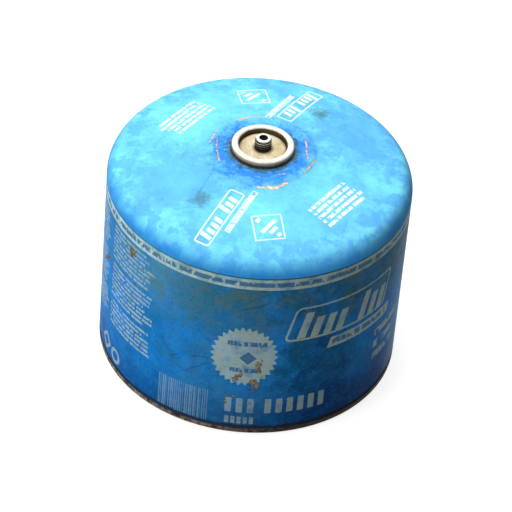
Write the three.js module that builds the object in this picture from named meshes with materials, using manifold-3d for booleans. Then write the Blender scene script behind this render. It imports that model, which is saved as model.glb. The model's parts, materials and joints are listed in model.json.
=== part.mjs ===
// A refillable-look camping gas cartridge: a squat, deep-drawn steel canister with a screw-on valve.
// Millimetres, +Z up, origin at the centre of the circle that the canister stands on.
//
// The sealed pressure vessel is one solid, filled, with a stepped well for the valve at its crown.
// The valve is made as the real one comes apart: a stamped mounting cup that is curled over the
// vessel's lip and clinched under it, a rubber ring between the two, a turned threaded post staked
// into the cup's floor, and inside the post a seal, a sliding stem, its spring and their housing.

import * as THREE from "three";
import { mergeVertices } from "three/addons/utils/BufferGeometryUtils.js";
import Module from "manifold-3d";

// Vessel
const bodyDiameter = 108; // straight wall, outside
const wallTop = 72.3; // height at which the wall starts to turn into the shoulder
const shoulderRadius = 7; // outside corner between wall and dome
const domeRise = 6.7; // crown of the dome above the top of the shoulder's corner arc
const seamHeight = 2.3; // rolled seam at the foot, seen as a narrow rim
const seamThickness = 1.5; // the rim's width where the canister stands on it
const seamGroove = 0.4; // depth of the groove above the rim
const seamGrooveHeight = 0.9; // height of that groove
const footRound = 0.4; // rounding of the rim's lower edges
const baseWallHeight = 3.6; // height of the rim's inner wall, up to the base's corner
const baseCorner = 1.6; // corner between that wall and the base
const baseRise = 7; // how far the base is domed inwards above its corner

// Raised bead pressed into the dome, where the loose protective cap used to snap on
const capBeadDiameter = 35.2;
const capBeadWidth = 3.2;
const capBeadHeight = 0.6;

// Mounting cup
const recessDiameter = 17.2; // clear diameter inside the ring
const recessDepth = 2.1; // from the top of the ring to the floor
const cupSheet = 0.5; // sheet thickness
const cupCorner = 0.6; // corner radius of the curl, at the middle of the sheet
const skirtHeight = 2.6; // outer side of the ring
const clinchBite = 0.42; // how far the clinch spreads under the lip
const clinchHeight = 0.45; // straight part of the clinch's side
const grooveDepth = 0.5; // groove that the clinch leaves round the floor

// Lip of the vessel and the rubber ring on it
const lipWidth = 1.15;
const lipHeight = 1;
const lipRound = 0.3;
const gasketThickness = 0.35;
const gasketChamfer = 0.3; // clears the inside corners of the curl

// Threaded post
const postHeight = 4.5; // above the floor of the recess
const postWall = 0.58; // between the chamber and the root of the thread
const threadDepth = 0.47;
const threadPitch = 0.9;
const threadLength = 3.4;
const plainTop = 0.65; // plain collar above the thread
const plainStep = 0.07; // how far it stands out from the root of the thread
const postChamfer = 0.2;
const baseCollarHeight = 0.4; // collar that seats on the floor
const mouthThickness = 0.8; // wall above the seal
const mouthChamfer = 0.3;
const stakedLip = 0.5; // how far the staked end spreads under the floor
const stakedHeight = 0.6;

// Seal, stem, spring and housing
const stemTipDiameter = 1.2;
const stemTipLength = 0.7;
const stemHeadHeight = 0.9;
const stemRodDiameter = 1.1;
const sealLip = 0.58; // from the seal's hole to the edge of the bore above it
const sealThickness = 0.8;
const sealLedge = 0.65; // width of the ledge that the seal bears on
const housingWall = 0.42;
const housingBodyWall = 1.4; // wall of the wider part under the cup
const housingDepth = 3.2; // below the staked end of the post
const housingFloor = 0.9;
const springWire = 0.34;
const springCoils = 6;

// Clearances
const fit = 0.05; // between pieces pressed together
const slide = 0.18; // round the moving stem
const gap = 0.12; // round a crimped or staked piece
const room = 0.3; // between the vessel and what hangs in its well
const stemRoom = 1.6; // under the housing, for the stem to travel

// Facets
const vesselSides = 64;
const cupSides = 48;
const postSides = 32;
const springSteps = 14; // steps in one coil
const springSides = 6;
const fineStep = Math.PI / 12; // one facet of the shoulder's arc
const arcStep = Math.PI / 6; // one facet of a small corner

const bodyRadius = bodyDiameter / 2;

// Radii of the valve, from the stem outwards
const stemTipRadius = stemTipDiameter / 2;
const stemRodRadius = stemRodDiameter / 2;
const sealHoleRadius = stemTipRadius + gap;
const boreRadius = sealHoleRadius + sealLip;
const chamberRadius = boreRadius + sealLedge;
const threadRoot = chamberRadius + postWall;
const threadCrest = threadRoot + threadDepth;
const housingTubeRadius = chamberRadius - fit;
const housingBore = housingTubeRadius - housingWall;
const stemHeadRadius = housingBore - slide;
const housingBodyRadius = housingBore + housingBodyWall;
const stakedRadius = threadRoot + stakedLip;

// Radii of the cup and the lip, from the recess outwards
const recessRadius = recessDiameter / 2;
const lipInner = recessRadius + cupSheet + gap;
const lipOuter = lipInner + lipWidth;
const ringRadius = lipOuter + gap + cupSheet;
const clinchRadius = recessRadius + cupSheet + clinchBite;

// Heights of the vessel
const dome = torisphere(bodyRadius, wallTop, shoulderRadius, domeRise);
const base = torisphere(bodyRadius - seamThickness, baseWallHeight, baseCorner, baseRise);

// Heights of the cup
const ringTop = dome.heightAt(ringRadius) + gap + skirtHeight;
const floorTop = ringTop - recessDepth;
const floorUnder = floorTop - cupSheet;
const lipTop = ringTop - cupSheet - gasketThickness;
const lipUnder = lipTop - lipHeight;
const grooveFloor = floorTop - grooveDepth;
const shelf = Math.min(grooveFloor - cupSheet, floorUnder - stakedHeight) - room;

// Heights of the post and of what is in it
const postTop = floorTop + postHeight;
const sealTop = postTop - mouthThickness;
const sealUnder = sealTop - sealThickness;
const stakedUnder = floorUnder - stakedHeight;
const housingUnder = stakedUnder - housingDepth;
const springSeat = housingUnder + housingFloor;
const wellFloor = housingUnder - stemRoom;

const wasm = await Module();
wasm.setup();

/**
 * The outline of a domed end: a corner arc that leaves the upright wall, and a shallow sphere
 * tangent to it.
 */
function torisphere(radius, cornerHeight, corner, rise) {
  const reach = radius - corner;
  const drop = (reach ** 2 - rise ** 2) / (2 * rise);
  const sphere = drop + corner + rise;
  const lean = Math.atan2(reach, drop);
  const heightAt = (r) => cornerHeight - drop + Math.sqrt(sphere ** 2 - r ** 2);
  return {
    cornerPoints: arc(reach, cornerHeight, corner, 0, Math.PI / 2 - lean, fineStep),
    tangentRadius: sphere * Math.sin(lean),
    heightAt,
    points: (radii) => radii.map((r) => [r, heightAt(r)]),
  };
}

/** Points of an arc in the section plane, both ends included. */
function arc(r, z, radius, from, to, step = arcStep) {
  const steps = Math.max(2, Math.ceil(Math.abs(to - from) / step - 1e-6));
  return Array.from({ length: steps + 1 }, (_, i) => {
    const angle = from + ((to - from) * i) / steps;
    return [r + radius * Math.cos(angle), z + radius * Math.sin(angle)];
  });
}

/** Evenly spaced numbers between two ends, without the ends. */
function between(from, to, count) {
  return Array.from({ length: count }, (_, i) => from + ((to - from) * (i + 1)) / (count + 1));
}

/** A solid of revolution round Z from [radius, height] pairs; a loop closes on itself. */
function turned(section, sides, loop = false) {
  const points = section.map(([r, z]) => new THREE.Vector2(r, z));
  if (loop) points.push(points[0].clone());
  return new THREE.LatheGeometry(points, sides).rotateX(Math.PI / 2);
}

/** The closed section of a sheet of even thickness whose middle line is given. */
function sheetSection(line, thickness) {
  const side = (sign) =>
    line.map(([r, z], i) => {
      const [r0, z0] = line[Math.max(0, i - 1)];
      const [r1, z1] = line[Math.min(line.length - 1, i + 1)];
      const before = Math.atan2(z - z0, r - r0);
      const after = Math.atan2(z1 - z, r1 - r);
      const first = i === 0 ? after : before;
      const last = i === line.length - 1 ? before : after;
      const turn = Math.atan2(Math.sin(last - first), Math.cos(last - first));
      const across = first + turn / 2 + Math.PI / 2;
      const reach = (sign * thickness) / 2 / Math.cos(turn / 2);
      return [r + reach * Math.cos(across), z + reach * Math.sin(across)];
    });
  return [...side(-1), ...side(1).reverse()];
}

/** A closed geometry as a solid that can be joined or cut. */
function solidOf(geometry) {
  const bare = geometry.index ? geometry.toNonIndexed() : geometry.clone();
  const shell = new THREE.BufferGeometry();
  shell.setAttribute("position", bare.getAttribute("position"));
  const merged = mergeVertices(shell, 1e-4);
  return new wasm.Manifold(
    new wasm.Mesh({
      numProp: 3,
      vertProperties: new Float32Array(merged.attributes.position.array),
      triVerts: new Uint32Array(merged.index.array),
    }),
  );
}

/** A solid back as a geometry. */
function geometryOf(solid) {
  const mesh = solid.getMesh();
  const geometry = new THREE.BufferGeometry();
  geometry.setAttribute("position", new THREE.BufferAttribute(mesh.vertProperties, 3));
  geometry.setIndex(new THREE.BufferAttribute(mesh.triVerts, 1));
  geometry.computeVertexNormals();
  return geometry;
}

/**
 * A section swept along a helix round Z, closed at both ends. The section is a list of
 * [radius, height] pairs for each share of the way, so a thread can run out.
 */
function helixSweep(sectionAt, rise, turns, stepsPerTurn) {
  const steps = Math.round(turns * stepsPerTurn);
  const count = sectionAt(0).length;
  const positions = [];
  for (let i = 0; i <= steps; i += 1) {
    const share = i / steps;
    const angle = share * turns * 2 * Math.PI;
    for (const [r, z] of sectionAt(share)) {
      positions.push(r * Math.cos(angle), r * Math.sin(angle), z + share * rise);
    }
  }
  const index = [];
  for (let i = 0; i < steps; i += 1) {
    for (let j = 0; j < count; j += 1) {
      const a = i * count + j;
      const b = i * count + ((j + 1) % count);
      index.push(a, a + count, b, b, a + count, b + count);
    }
  }
  const last = steps * count;
  for (let j = 1; j < count - 1; j += 1) {
    index.push(0, j, j + 1);
    index.push(last, last + j + 1, last + j);
  }
  const geometry = new THREE.BufferGeometry();
  geometry.setAttribute("position", new THREE.Float32BufferAttribute(positions, 3));
  geometry.setIndex(index);
  return geometry;
}

/** The sealed vessel: domed base, rolled seam, wall, shoulder, dome with its bead, lip and well. */
function canBody() {
  const rimInner = bodyRadius - seamThickness;
  const beadRadius = capBeadDiameter / 2;
  const halfBead = capBeadWidth / 2;
  const underside = [
    ...base.points([0, ...between(0, base.tangentRadius, 4)]),
    ...base.cornerPoints.slice().reverse(),
  ];
  const foot = [
    ...arc(rimInner + footRound, footRound, footRound, Math.PI, 1.5 * Math.PI),
    ...arc(bodyRadius - footRound, footRound, footRound, -Math.PI / 2, 0),
    [bodyRadius, seamHeight],
    [bodyRadius - seamGroove, seamHeight + seamGroove],
    [bodyRadius - seamGroove, seamHeight + seamGrooveHeight],
    [bodyRadius, seamHeight + seamGrooveHeight + seamGroove],
  ];
  const crown = [
    ...dome.cornerPoints,
    ...dome.points(between(dome.tangentRadius, beadRadius + halfBead, 4)),
    ...[1, 0.6, 0.2, -0.2, -0.6, -1].map((across) => {
      const r = beadRadius + across * halfBead;
      return [r, dome.heightAt(r) + capBeadHeight * (1 - across ** 2)];
    }),
    ...dome.points(between(beadRadius - halfBead, lipOuter, 1)),
    ...dome.points([lipOuter]),
  ];
  const undercut = clinchRadius + gap;
  const neck = [
    ...arc(lipOuter - lipRound, lipTop - lipRound, lipRound, 0, Math.PI / 2),
    ...arc(lipInner + lipRound, lipTop - lipRound, lipRound, Math.PI / 2, Math.PI),
    [lipInner, lipUnder],
    [undercut, lipUnder - (undercut - lipInner) / 2],
    [undercut, shelf],
  ];
  const wellRadius = housingBodyRadius + room;
  const well = [
    [wellRadius, shelf],
    [wellRadius, wellFloor],
    [0, wellFloor],
  ];
  return turned([...underside, ...foot, ...crown, ...neck, ...well], vesselSides);
}

/** The rubber ring that the curl of the cup presses on the lip. */
function cupGasket() {
  const under = lipTop;
  const over = lipTop + gasketThickness;
  const section = [
    [lipInner, under],
    [lipOuter, under],
    [lipOuter - gasketChamfer, over],
    [lipInner + gasketChamfer, over],
  ];
  return turned(section, cupSides, true);
}

/** The mounting cup, stamped from one sheet: skirt, ring, recess, clinch and floor. */
function valveCup() {
  const half = cupSheet / 2;
  const outer = ringRadius - half;
  const inner = recessRadius + half;
  const top = ringTop - half;
  const floor = floorTop - half;
  const spread = inner + clinchBite;
  const groove = grooveFloor - half;
  const clinchTop = groove + clinchHeight + clinchBite;
  const postHole = threadRoot + gap;
  const line = [
    [outer, ringTop - skirtHeight],
    ...arc(outer - cupCorner, top - cupCorner, cupCorner, 0, Math.PI / 2),
    ...arc(inner + cupCorner, top - cupCorner, cupCorner, Math.PI / 2, Math.PI),
    [inner, clinchTop],
    [spread, clinchTop - clinchBite],
    [spread, groove + clinchHeight / 2],
    [spread - clinchHeight / 2, groove],
    [inner - clinchHeight, groove],
    [inner - clinchHeight - grooveDepth, floor],
    [postHole, floor],
  ];
  return turned(sheetSection(line, cupSheet), cupSides, true);
}

/** The threaded post, turned, with the seal's chamber inside and its lower end staked. */
function threadedPost() {
  const collarTop = floorTop + baseCollarHeight;
  const section = [
    [chamberRadius, stakedUnder],
    [stakedRadius, stakedUnder],
    [stakedRadius, floorUnder],
    [threadRoot, floorUnder],
    [threadRoot, floorTop],
    [threadCrest, floorTop],
    [threadCrest, collarTop - postChamfer],
    [threadRoot, collarTop + postChamfer],
    [threadRoot, postTop - plainTop],
    [threadRoot + plainStep, postTop - plainTop + plainStep],
    [threadRoot + plainStep, postTop - postChamfer],
    [threadRoot + plainStep - postChamfer, postTop],
    [boreRadius + mouthChamfer, postTop],
    [boreRadius, postTop - mouthChamfer],
    [boreRadius, sealTop],
    [chamberRadius, sealTop],
  ];
  const post = solidOf(turned(section, postSides, true));
  return geometryOf(post.add(solidOf(thread())));
}

/** The thread's ridge, which runs out at both ends and is sunk a little into the post. */
function thread() {
  const start = postTop - plainTop - threadLength;
  const turns = (threadLength - threadPitch) / threadPitch;
  const sunk = threadRoot - postWall / 4;
  const sectionAt = (share) => {
    const fade = Math.min(1, Math.min(share, 1 - share) * turns * 4 + 0.15);
    const crest = threadRoot + threadDepth * fade;
    const rootHalf = threadPitch * 0.44;
    const crestHalf = threadPitch * 0.1;
    const middle = start + threadPitch / 2;
    return [
      [sunk, middle - rootHalf],
      [crest, middle - crestHalf],
      [crest, middle + crestHalf],
      [sunk, middle + rootHalf],
    ];
  };
  return helixSweep(sectionAt, turns * threadPitch, turns, postSides);
}

/** The rubber seal under the mouth of the post. */
function stemSeal() {
  const outer = chamberRadius - fit;
  const section = [
    [sealHoleRadius, sealUnder],
    [outer, sealUnder],
    [outer, sealTop],
    [sealHoleRadius, sealTop],
  ];
  return turned(section, postSides, true);
}

/** The stem: a tip in the seal's hole, a head that shuts it from below, and a guide rod. */
function valveStem() {
  const headUnder = sealUnder - stemHeadHeight;
  const tipTop = sealUnder + stemTipLength;
  const tipChamfer = stemTipRadius / 3;
  const section = [
    [0, housingUnder],
    [stemRodRadius, housingUnder],
    [stemRodRadius, headUnder],
    [stemHeadRadius, headUnder],
    [stemHeadRadius, sealUnder],
    [stemTipRadius, sealUnder],
    [stemTipRadius, tipTop - tipChamfer],
    [stemTipRadius - tipChamfer, tipTop],
    [0, tipTop],
  ];
  return turned(section, postSides);
}

/** The coil spring between the housing's floor and the stem's head. */
function stemSpring() {
  const wire = springWire / 2;
  const coil = stemHeadRadius - wire;
  const low = springSeat + wire + fit;
  const high = sealUnder - stemHeadHeight - wire - fit;
  const ring = Array.from({ length: springSides }, (_, i) => {
    const angle = (i / springSides) * 2 * Math.PI;
    return [coil + wire * Math.cos(angle), low + wire * Math.sin(angle)];
  });
  return helixSweep(() => ring, high - low, springCoils, springSteps);
}

/** The housing: a tube pressed into the post under the seal, and a wider body under the cup. */
function valveHousing() {
  const hole = stemRodRadius + slide;
  const section = [
    [hole, housingUnder],
    [housingBodyRadius, housingUnder],
    [housingBodyRadius, stakedUnder],
    [housingTubeRadius, stakedUnder],
    [housingTubeRadius, sealUnder],
    [housingBore, sealUnder],
    [housingBore, springSeat],
    [hole, springSeat],
  ];
  return turned(section, postSides, true);
}

const finishes = {
  bluePaint: new THREE.MeshStandardMaterial({ color: 0x2b8fcb, roughness: 0.45, metalness: 0.1 }),
  dullTinplate: new THREE.MeshStandardMaterial({ color: 0xcfc6b2, roughness: 0.5, metalness: 0.6 }),
  turnedSteel: new THREE.MeshStandardMaterial({ color: 0xa9a79c, roughness: 0.4, metalness: 0.9 }),
  blackRubber: new THREE.MeshStandardMaterial({ color: 0x1b1a19, roughness: 0.85, metalness: 0 }),
  darkPlastic: new THREE.MeshStandardMaterial({ color: 0x2a2622, roughness: 0.55, metalness: 0 }),
  whitePlastic: new THREE.MeshStandardMaterial({ color: 0xe4e1d8, roughness: 0.5, metalness: 0 }),
  springSteel: new THREE.MeshStandardMaterial({ color: 0x8f9294, roughness: 0.35, metalness: 1 }),
};

/** A named piece of the canister. */
function piece(name, geometry, finish) {
  const mesh = new THREE.Mesh(geometry, finish);
  mesh.name = name;
  return mesh;
}

const canister = new THREE.Group();
canister.add(
  piece("can_body", canBody(), finishes.bluePaint),
  piece("cup_gasket", cupGasket(), finishes.blackRubber),
  piece("valve_cup", valveCup(), finishes.dullTinplate),
  piece("threaded_post", threadedPost(), finishes.turnedSteel),
  piece("stem_seal", stemSeal(), finishes.blackRubber),
  piece("valve_stem", valveStem(), finishes.darkPlastic),
  piece("stem_spring", stemSpring(), finishes.springSteel),
  piece("valve_housing", valveHousing(), finishes.whitePlastic),
);

export default canister;
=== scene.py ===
"""Looks of a worn blue gas canister with a screw valve, built over its fixed frame.

Sizes in the dataclasses are in millimetres, like the ones the maker's drawing would give.
Blender's own coordinates are in metres, so a mesh is scaled once, where it is made.
"""

import json
import logging
import math
from dataclasses import dataclass, field
from enum import Enum
from typing import Callable, Iterable, Sequence

import bpy
from mathutils import Matrix, Vector


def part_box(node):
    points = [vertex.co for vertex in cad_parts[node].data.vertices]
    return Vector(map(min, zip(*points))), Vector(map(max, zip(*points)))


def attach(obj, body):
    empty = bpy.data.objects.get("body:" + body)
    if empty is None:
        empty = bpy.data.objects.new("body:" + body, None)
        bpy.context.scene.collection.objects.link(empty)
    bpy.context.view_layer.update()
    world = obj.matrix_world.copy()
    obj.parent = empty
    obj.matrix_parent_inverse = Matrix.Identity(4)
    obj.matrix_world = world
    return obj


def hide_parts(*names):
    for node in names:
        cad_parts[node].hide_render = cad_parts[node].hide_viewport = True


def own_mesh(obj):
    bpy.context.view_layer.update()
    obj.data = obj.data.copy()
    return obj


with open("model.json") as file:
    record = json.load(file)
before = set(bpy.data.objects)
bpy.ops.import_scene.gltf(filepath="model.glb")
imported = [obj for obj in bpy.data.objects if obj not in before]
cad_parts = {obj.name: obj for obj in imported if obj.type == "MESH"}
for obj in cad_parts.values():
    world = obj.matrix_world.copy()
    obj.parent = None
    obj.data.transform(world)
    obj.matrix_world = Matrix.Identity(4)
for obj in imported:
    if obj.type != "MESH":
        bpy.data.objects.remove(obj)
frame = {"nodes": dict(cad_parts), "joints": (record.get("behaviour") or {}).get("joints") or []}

MM = 0.001
SHARP_CORNER = 38.0
LOG = logging.getLogger("canister")
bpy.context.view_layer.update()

Point = tuple[float, float]
Colour = tuple[float, float, float, float]


def shade(code: str) -> Colour:
    """Turn a screen colour into the linear one that a shader takes.

    Args:
        code: six hexadecimal digits, red first.

    Returns:
        Linear red, green, blue and an alpha of 1.
    """
    parts = [int(code[i : i + 2], 16) / 255 for i in (0, 2, 4)]
    linear = [p / 12.92 if p <= 0.04045 else ((p + 0.055) / 1.055) ** 2.4 for p in parts]
    return (*linear, 1.0)


class Body(Enum):
    """The rigid body that the remade pieces ride on."""

    CANISTER = "canister"


@dataclass(frozen=True)
class Value:
    """A node's output that takes part in plain arithmetic; each step adds a Math node."""

    wiring: "Wiring"
    socket: bpy.types.NodeSocket

    def __add__(self, other: "Feed") -> "Value":
        """This value and the other."""
        return self.wiring.math("ADD", self, other)

    def __radd__(self, other: "Feed") -> "Value":
        """The other and this value."""
        return self.wiring.math("ADD", other, self)

    def __sub__(self, other: "Feed") -> "Value":
        """This value less the other."""
        return self.wiring.math("SUBTRACT", self, other)

    def __rsub__(self, other: "Feed") -> "Value":
        """The other less this value."""
        return self.wiring.math("SUBTRACT", other, self)

    def __mul__(self, other: "Feed") -> "Value":
        """This value times the other."""
        return self.wiring.math("MULTIPLY", self, other)

    def __truediv__(self, other: "Feed") -> "Value":
        """This value over the other."""
        return self.wiring.math("DIVIDE", self, other)

    def __rtruediv__(self, other: "Feed") -> "Value":
        """The other over this value."""
        return self.wiring.math("DIVIDE", other, self)


Feed = float | Value | bpy.types.NodeSocket | Sequence[float]
Place = dict[str, Value]


class Wiring:
    """Adds nodes to one tree and joins them, so that a formula reads as one."""

    def __init__(self, tree: bpy.types.NodeTree) -> None:
        """Keep the tree that the nodes go into."""
        self.tree = tree

    def node(self, kind: str, **settings: object) -> bpy.types.Node:
        """Add a node.

        Args:
            kind: the node's type, without the leading ShaderNode for shader nodes.
            settings: attributes to set on it.

        Returns:
            The new node.
        """
        name = kind if kind.startswith("Node") else f"ShaderNode{kind}"
        made = self.tree.nodes.new(name)
        for key, value in settings.items():
            setattr(made, key, value)
        return made

    def read(self, node: bpy.types.Node, key: int | str = 0) -> Value:
        """Give one output of a node, by number or name."""
        return Value(self, node.outputs[key])

    def feed(self, socket: bpy.types.NodeSocket, value: Feed) -> None:
        """Link a socket to the given one, or set its plain value.

        Args:
            socket: the input.
            value: what it gets.
        """
        given = value.socket if isinstance(value, Value) else value
        if isinstance(given, bpy.types.NodeSocket):
            self.tree.links.new(given, socket)
        else:
            socket.default_value = given

    def math(self, operation: str, *values: Feed, clamp: bool = False) -> Value:
        """Work out one step of arithmetic.

        Args:
            operation: the Math node's operation.
            values: its one, two or three inputs.
            clamp: keep the result between 0 and 1.

        Returns:
            The result.
        """
        made = self.node("Math", operation=operation, use_clamp=clamp)
        for socket, value in zip(made.inputs, values):
            self.feed(socket, value)
        return self.read(made)

    def length(self, x: Value, y: Value) -> Value:
        """Give the length of a step by x and y."""
        return self.math("SQRT", x * x + y * y)

    def least(self, values: Iterable[Feed]) -> Value:
        """Give the smallest of several values."""
        return self._fold("MINIMUM", values)

    def most(self, values: Iterable[Feed]) -> Value:
        """Give the largest of several values."""
        return self._fold("MAXIMUM", values)

    def _fold(self, operation: str, values: Iterable[Feed]) -> Value:
        """Join several values by one operation, in pairs.

        Args:
            operation: the Math node's operation.
            values: what it joins.

        Returns:
            The result.
        """
        found = list(values)
        while len(found) > 1:
            pairs = zip(found[0::2], found[1::2])
            rest = [found[-1]] if len(found) % 2 else []
            found = [self.math(operation, a, b) for a, b in pairs] + rest
        return found[0]

    def ramp(self, value: Feed, low: Feed, high: Feed) -> Value:
        """Rise smoothly from 0 at low to 1 at high, or fall where low is the larger.

        Args:
            value: what rises.
            low: where the mask is 0.
            high: where it is 1.

        Returns:
            The mask.
        """
        made = self.node("MapRange", interpolation_type="SMOOTHSTEP")
        for index, given in enumerate((value, low, high)):
            self.feed(made.inputs[index], given)
        return self.read(made)

    def within(self, value: Value, end: Feed, soft: float) -> Value:
        """Mask of the values from 0 to end, with soft edges inside them."""
        return self.ramp(value, 0.0, soft) * self.ramp(value, end, end - soft)

    def flip(self, mask: Feed) -> Value:
        """Give what is left of a mask."""
        return self.math("SUBTRACT", 1.0, mask, clamp=True)

    def _mix(self, kind: str, first: int, share: Feed, under: Feed, over: Feed) -> bpy.types.Node:
        """Add a Mix node whose two inputs start at a number.

        Args:
            kind: the node's data type.
            first: number of the input for under.
            share: the mask.
            under: what shows where the mask is 0.
            over: what shows where it is 1.

        Returns:
            The node.
        """
        made = self.node("Mix", data_type=kind)
        for index, value in zip((0, first, first + 1), (share, under, over)):
            self.feed(made.inputs[index], value)
        return made

    def tint(self, share: Feed, under: Feed, over: Feed) -> Value:
        """Lay one colour over another by a mask."""
        return self.read(self._mix("RGBA", 6, share, under, over), 2)

    def coats(self, base: Feed, *coats: tuple[Feed, Feed]) -> Feed:
        """Lay colours over a base one after another, each by its own mask.

        Args:
            base: the colour at the bottom.
            coats: each coat's mask and colour.

        Returns:
            The colour that shows.
        """
        for share, over in coats:
            base = self.tint(share, base, over)
        return base

    def level(self, share: Feed, under: Feed, over: Feed) -> Value:
        """Go from one value to another by a mask."""
        return self.read(self._mix("FLOAT", 2, share, under, over))

    def join(self, x: Feed, y: Feed, z: Feed = 0.0) -> Value:
        """Make a vector of three values.

        Args:
            x: the first.
            y: the second.
            z: the third.

        Returns:
            The vector.
        """
        made = self.node("CombineXYZ")
        for socket, value in zip(made.inputs, (x, y, z)):
            self.feed(socket, value)
        return self.read(made)

    def cloud(self, place: Feed, size: Feed, detail: float = 4, rough: float = 0.55) -> Value:
        """Give soft noise from 0 to 1 whose features are about size across, in place's unit.

        Args:
            place: where the point lies.
            size: how large the features are.
            detail: how many finer layers lie over them.
            rough: how strong those are.

        Returns:
            The noise.
        """
        made = self.node("TexNoise", noise_dimensions="3D")
        self.feed(made.inputs["Vector"], place)
        self.feed(made.inputs["Scale"], 1 / size)
        made.inputs["Detail"].default_value = detail
        made.inputs["Roughness"].default_value = rough
        return self.read(made, "Fac")

    def call(self, group: bpy.types.NodeTree, **values: Feed) -> Place:
        """Place a node group.

        Args:
            group: the group's tree.
            values: its inputs by name, with underscores for spaces.

        Returns:
            Its outputs by name.
        """
        made = self.node("Group", node_tree=group)
        for key, value in values.items():
            self.feed(made.inputs[key.replace("_", " ")], value)
        return {socket.name: Value(self, socket) for socket in made.outputs}


class Effect:
    """A shader node group with named inputs and outputs, built once and used by many."""

    def __init__(self, name: str, takes: dict[str, float | str], gives: dict[str, str]) -> None:
        """Make the empty group.

        Args:
            name: the group's name.
            takes: each input's name with its usual value, or with the word Vector.
            gives: each output's name with its socket kind, such as Float or Color.
        """
        self.tree = bpy.data.node_groups.new(name, "ShaderNodeTree")
        for label, usual in takes.items():
            kind = usual if isinstance(usual, str) else "Float"
            made = self._socket(label, "INPUT", kind)
            if not isinstance(usual, str):
                made.default_value = usual
        for label, kind in gives.items():
            self._socket(label, "OUTPUT", kind)
        self.wiring = Wiring(self.tree)
        start = self.wiring.node("NodeGroupInput")
        self.inputs = {label: self.wiring.read(start, label) for label in takes}
        self._end = self.wiring.node("NodeGroupOutput")

    def _socket(self, label: str, side: str, kind: str) -> bpy.types.NodeTreeInterfaceSocket:
        """Add one named socket to the group's interface."""
        interface = self.tree.interface
        return interface.new_socket(label, in_out=side, socket_type=f"NodeSocket{kind}")

    def give(self, **values: Feed) -> bpy.types.NodeTree:
        """Join the outputs and hand the finished tree over.

        Args:
            values: what each output gets, by name, with underscores for spaces.

        Returns:
            The group's tree.
        """
        for label, value in values.items():
            self.wiring.feed(self._end.inputs[label.replace("_", " ")], value)
        return self.tree


class Rust(Enum):
    """Colours in a chip: old ones on the wall, fresh ones along the bead."""

    OLD_DARK = shade("3a2e22")
    OLD_LIGHT = shade("9c907a")
    OLD_RIM = shade("a39e88")
    FRESH_DARK = shade("c07a42")
    FRESH_LIGHT = shade("fff0d4")
    FRESH_RIM = shade("f6dcb2")


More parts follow.
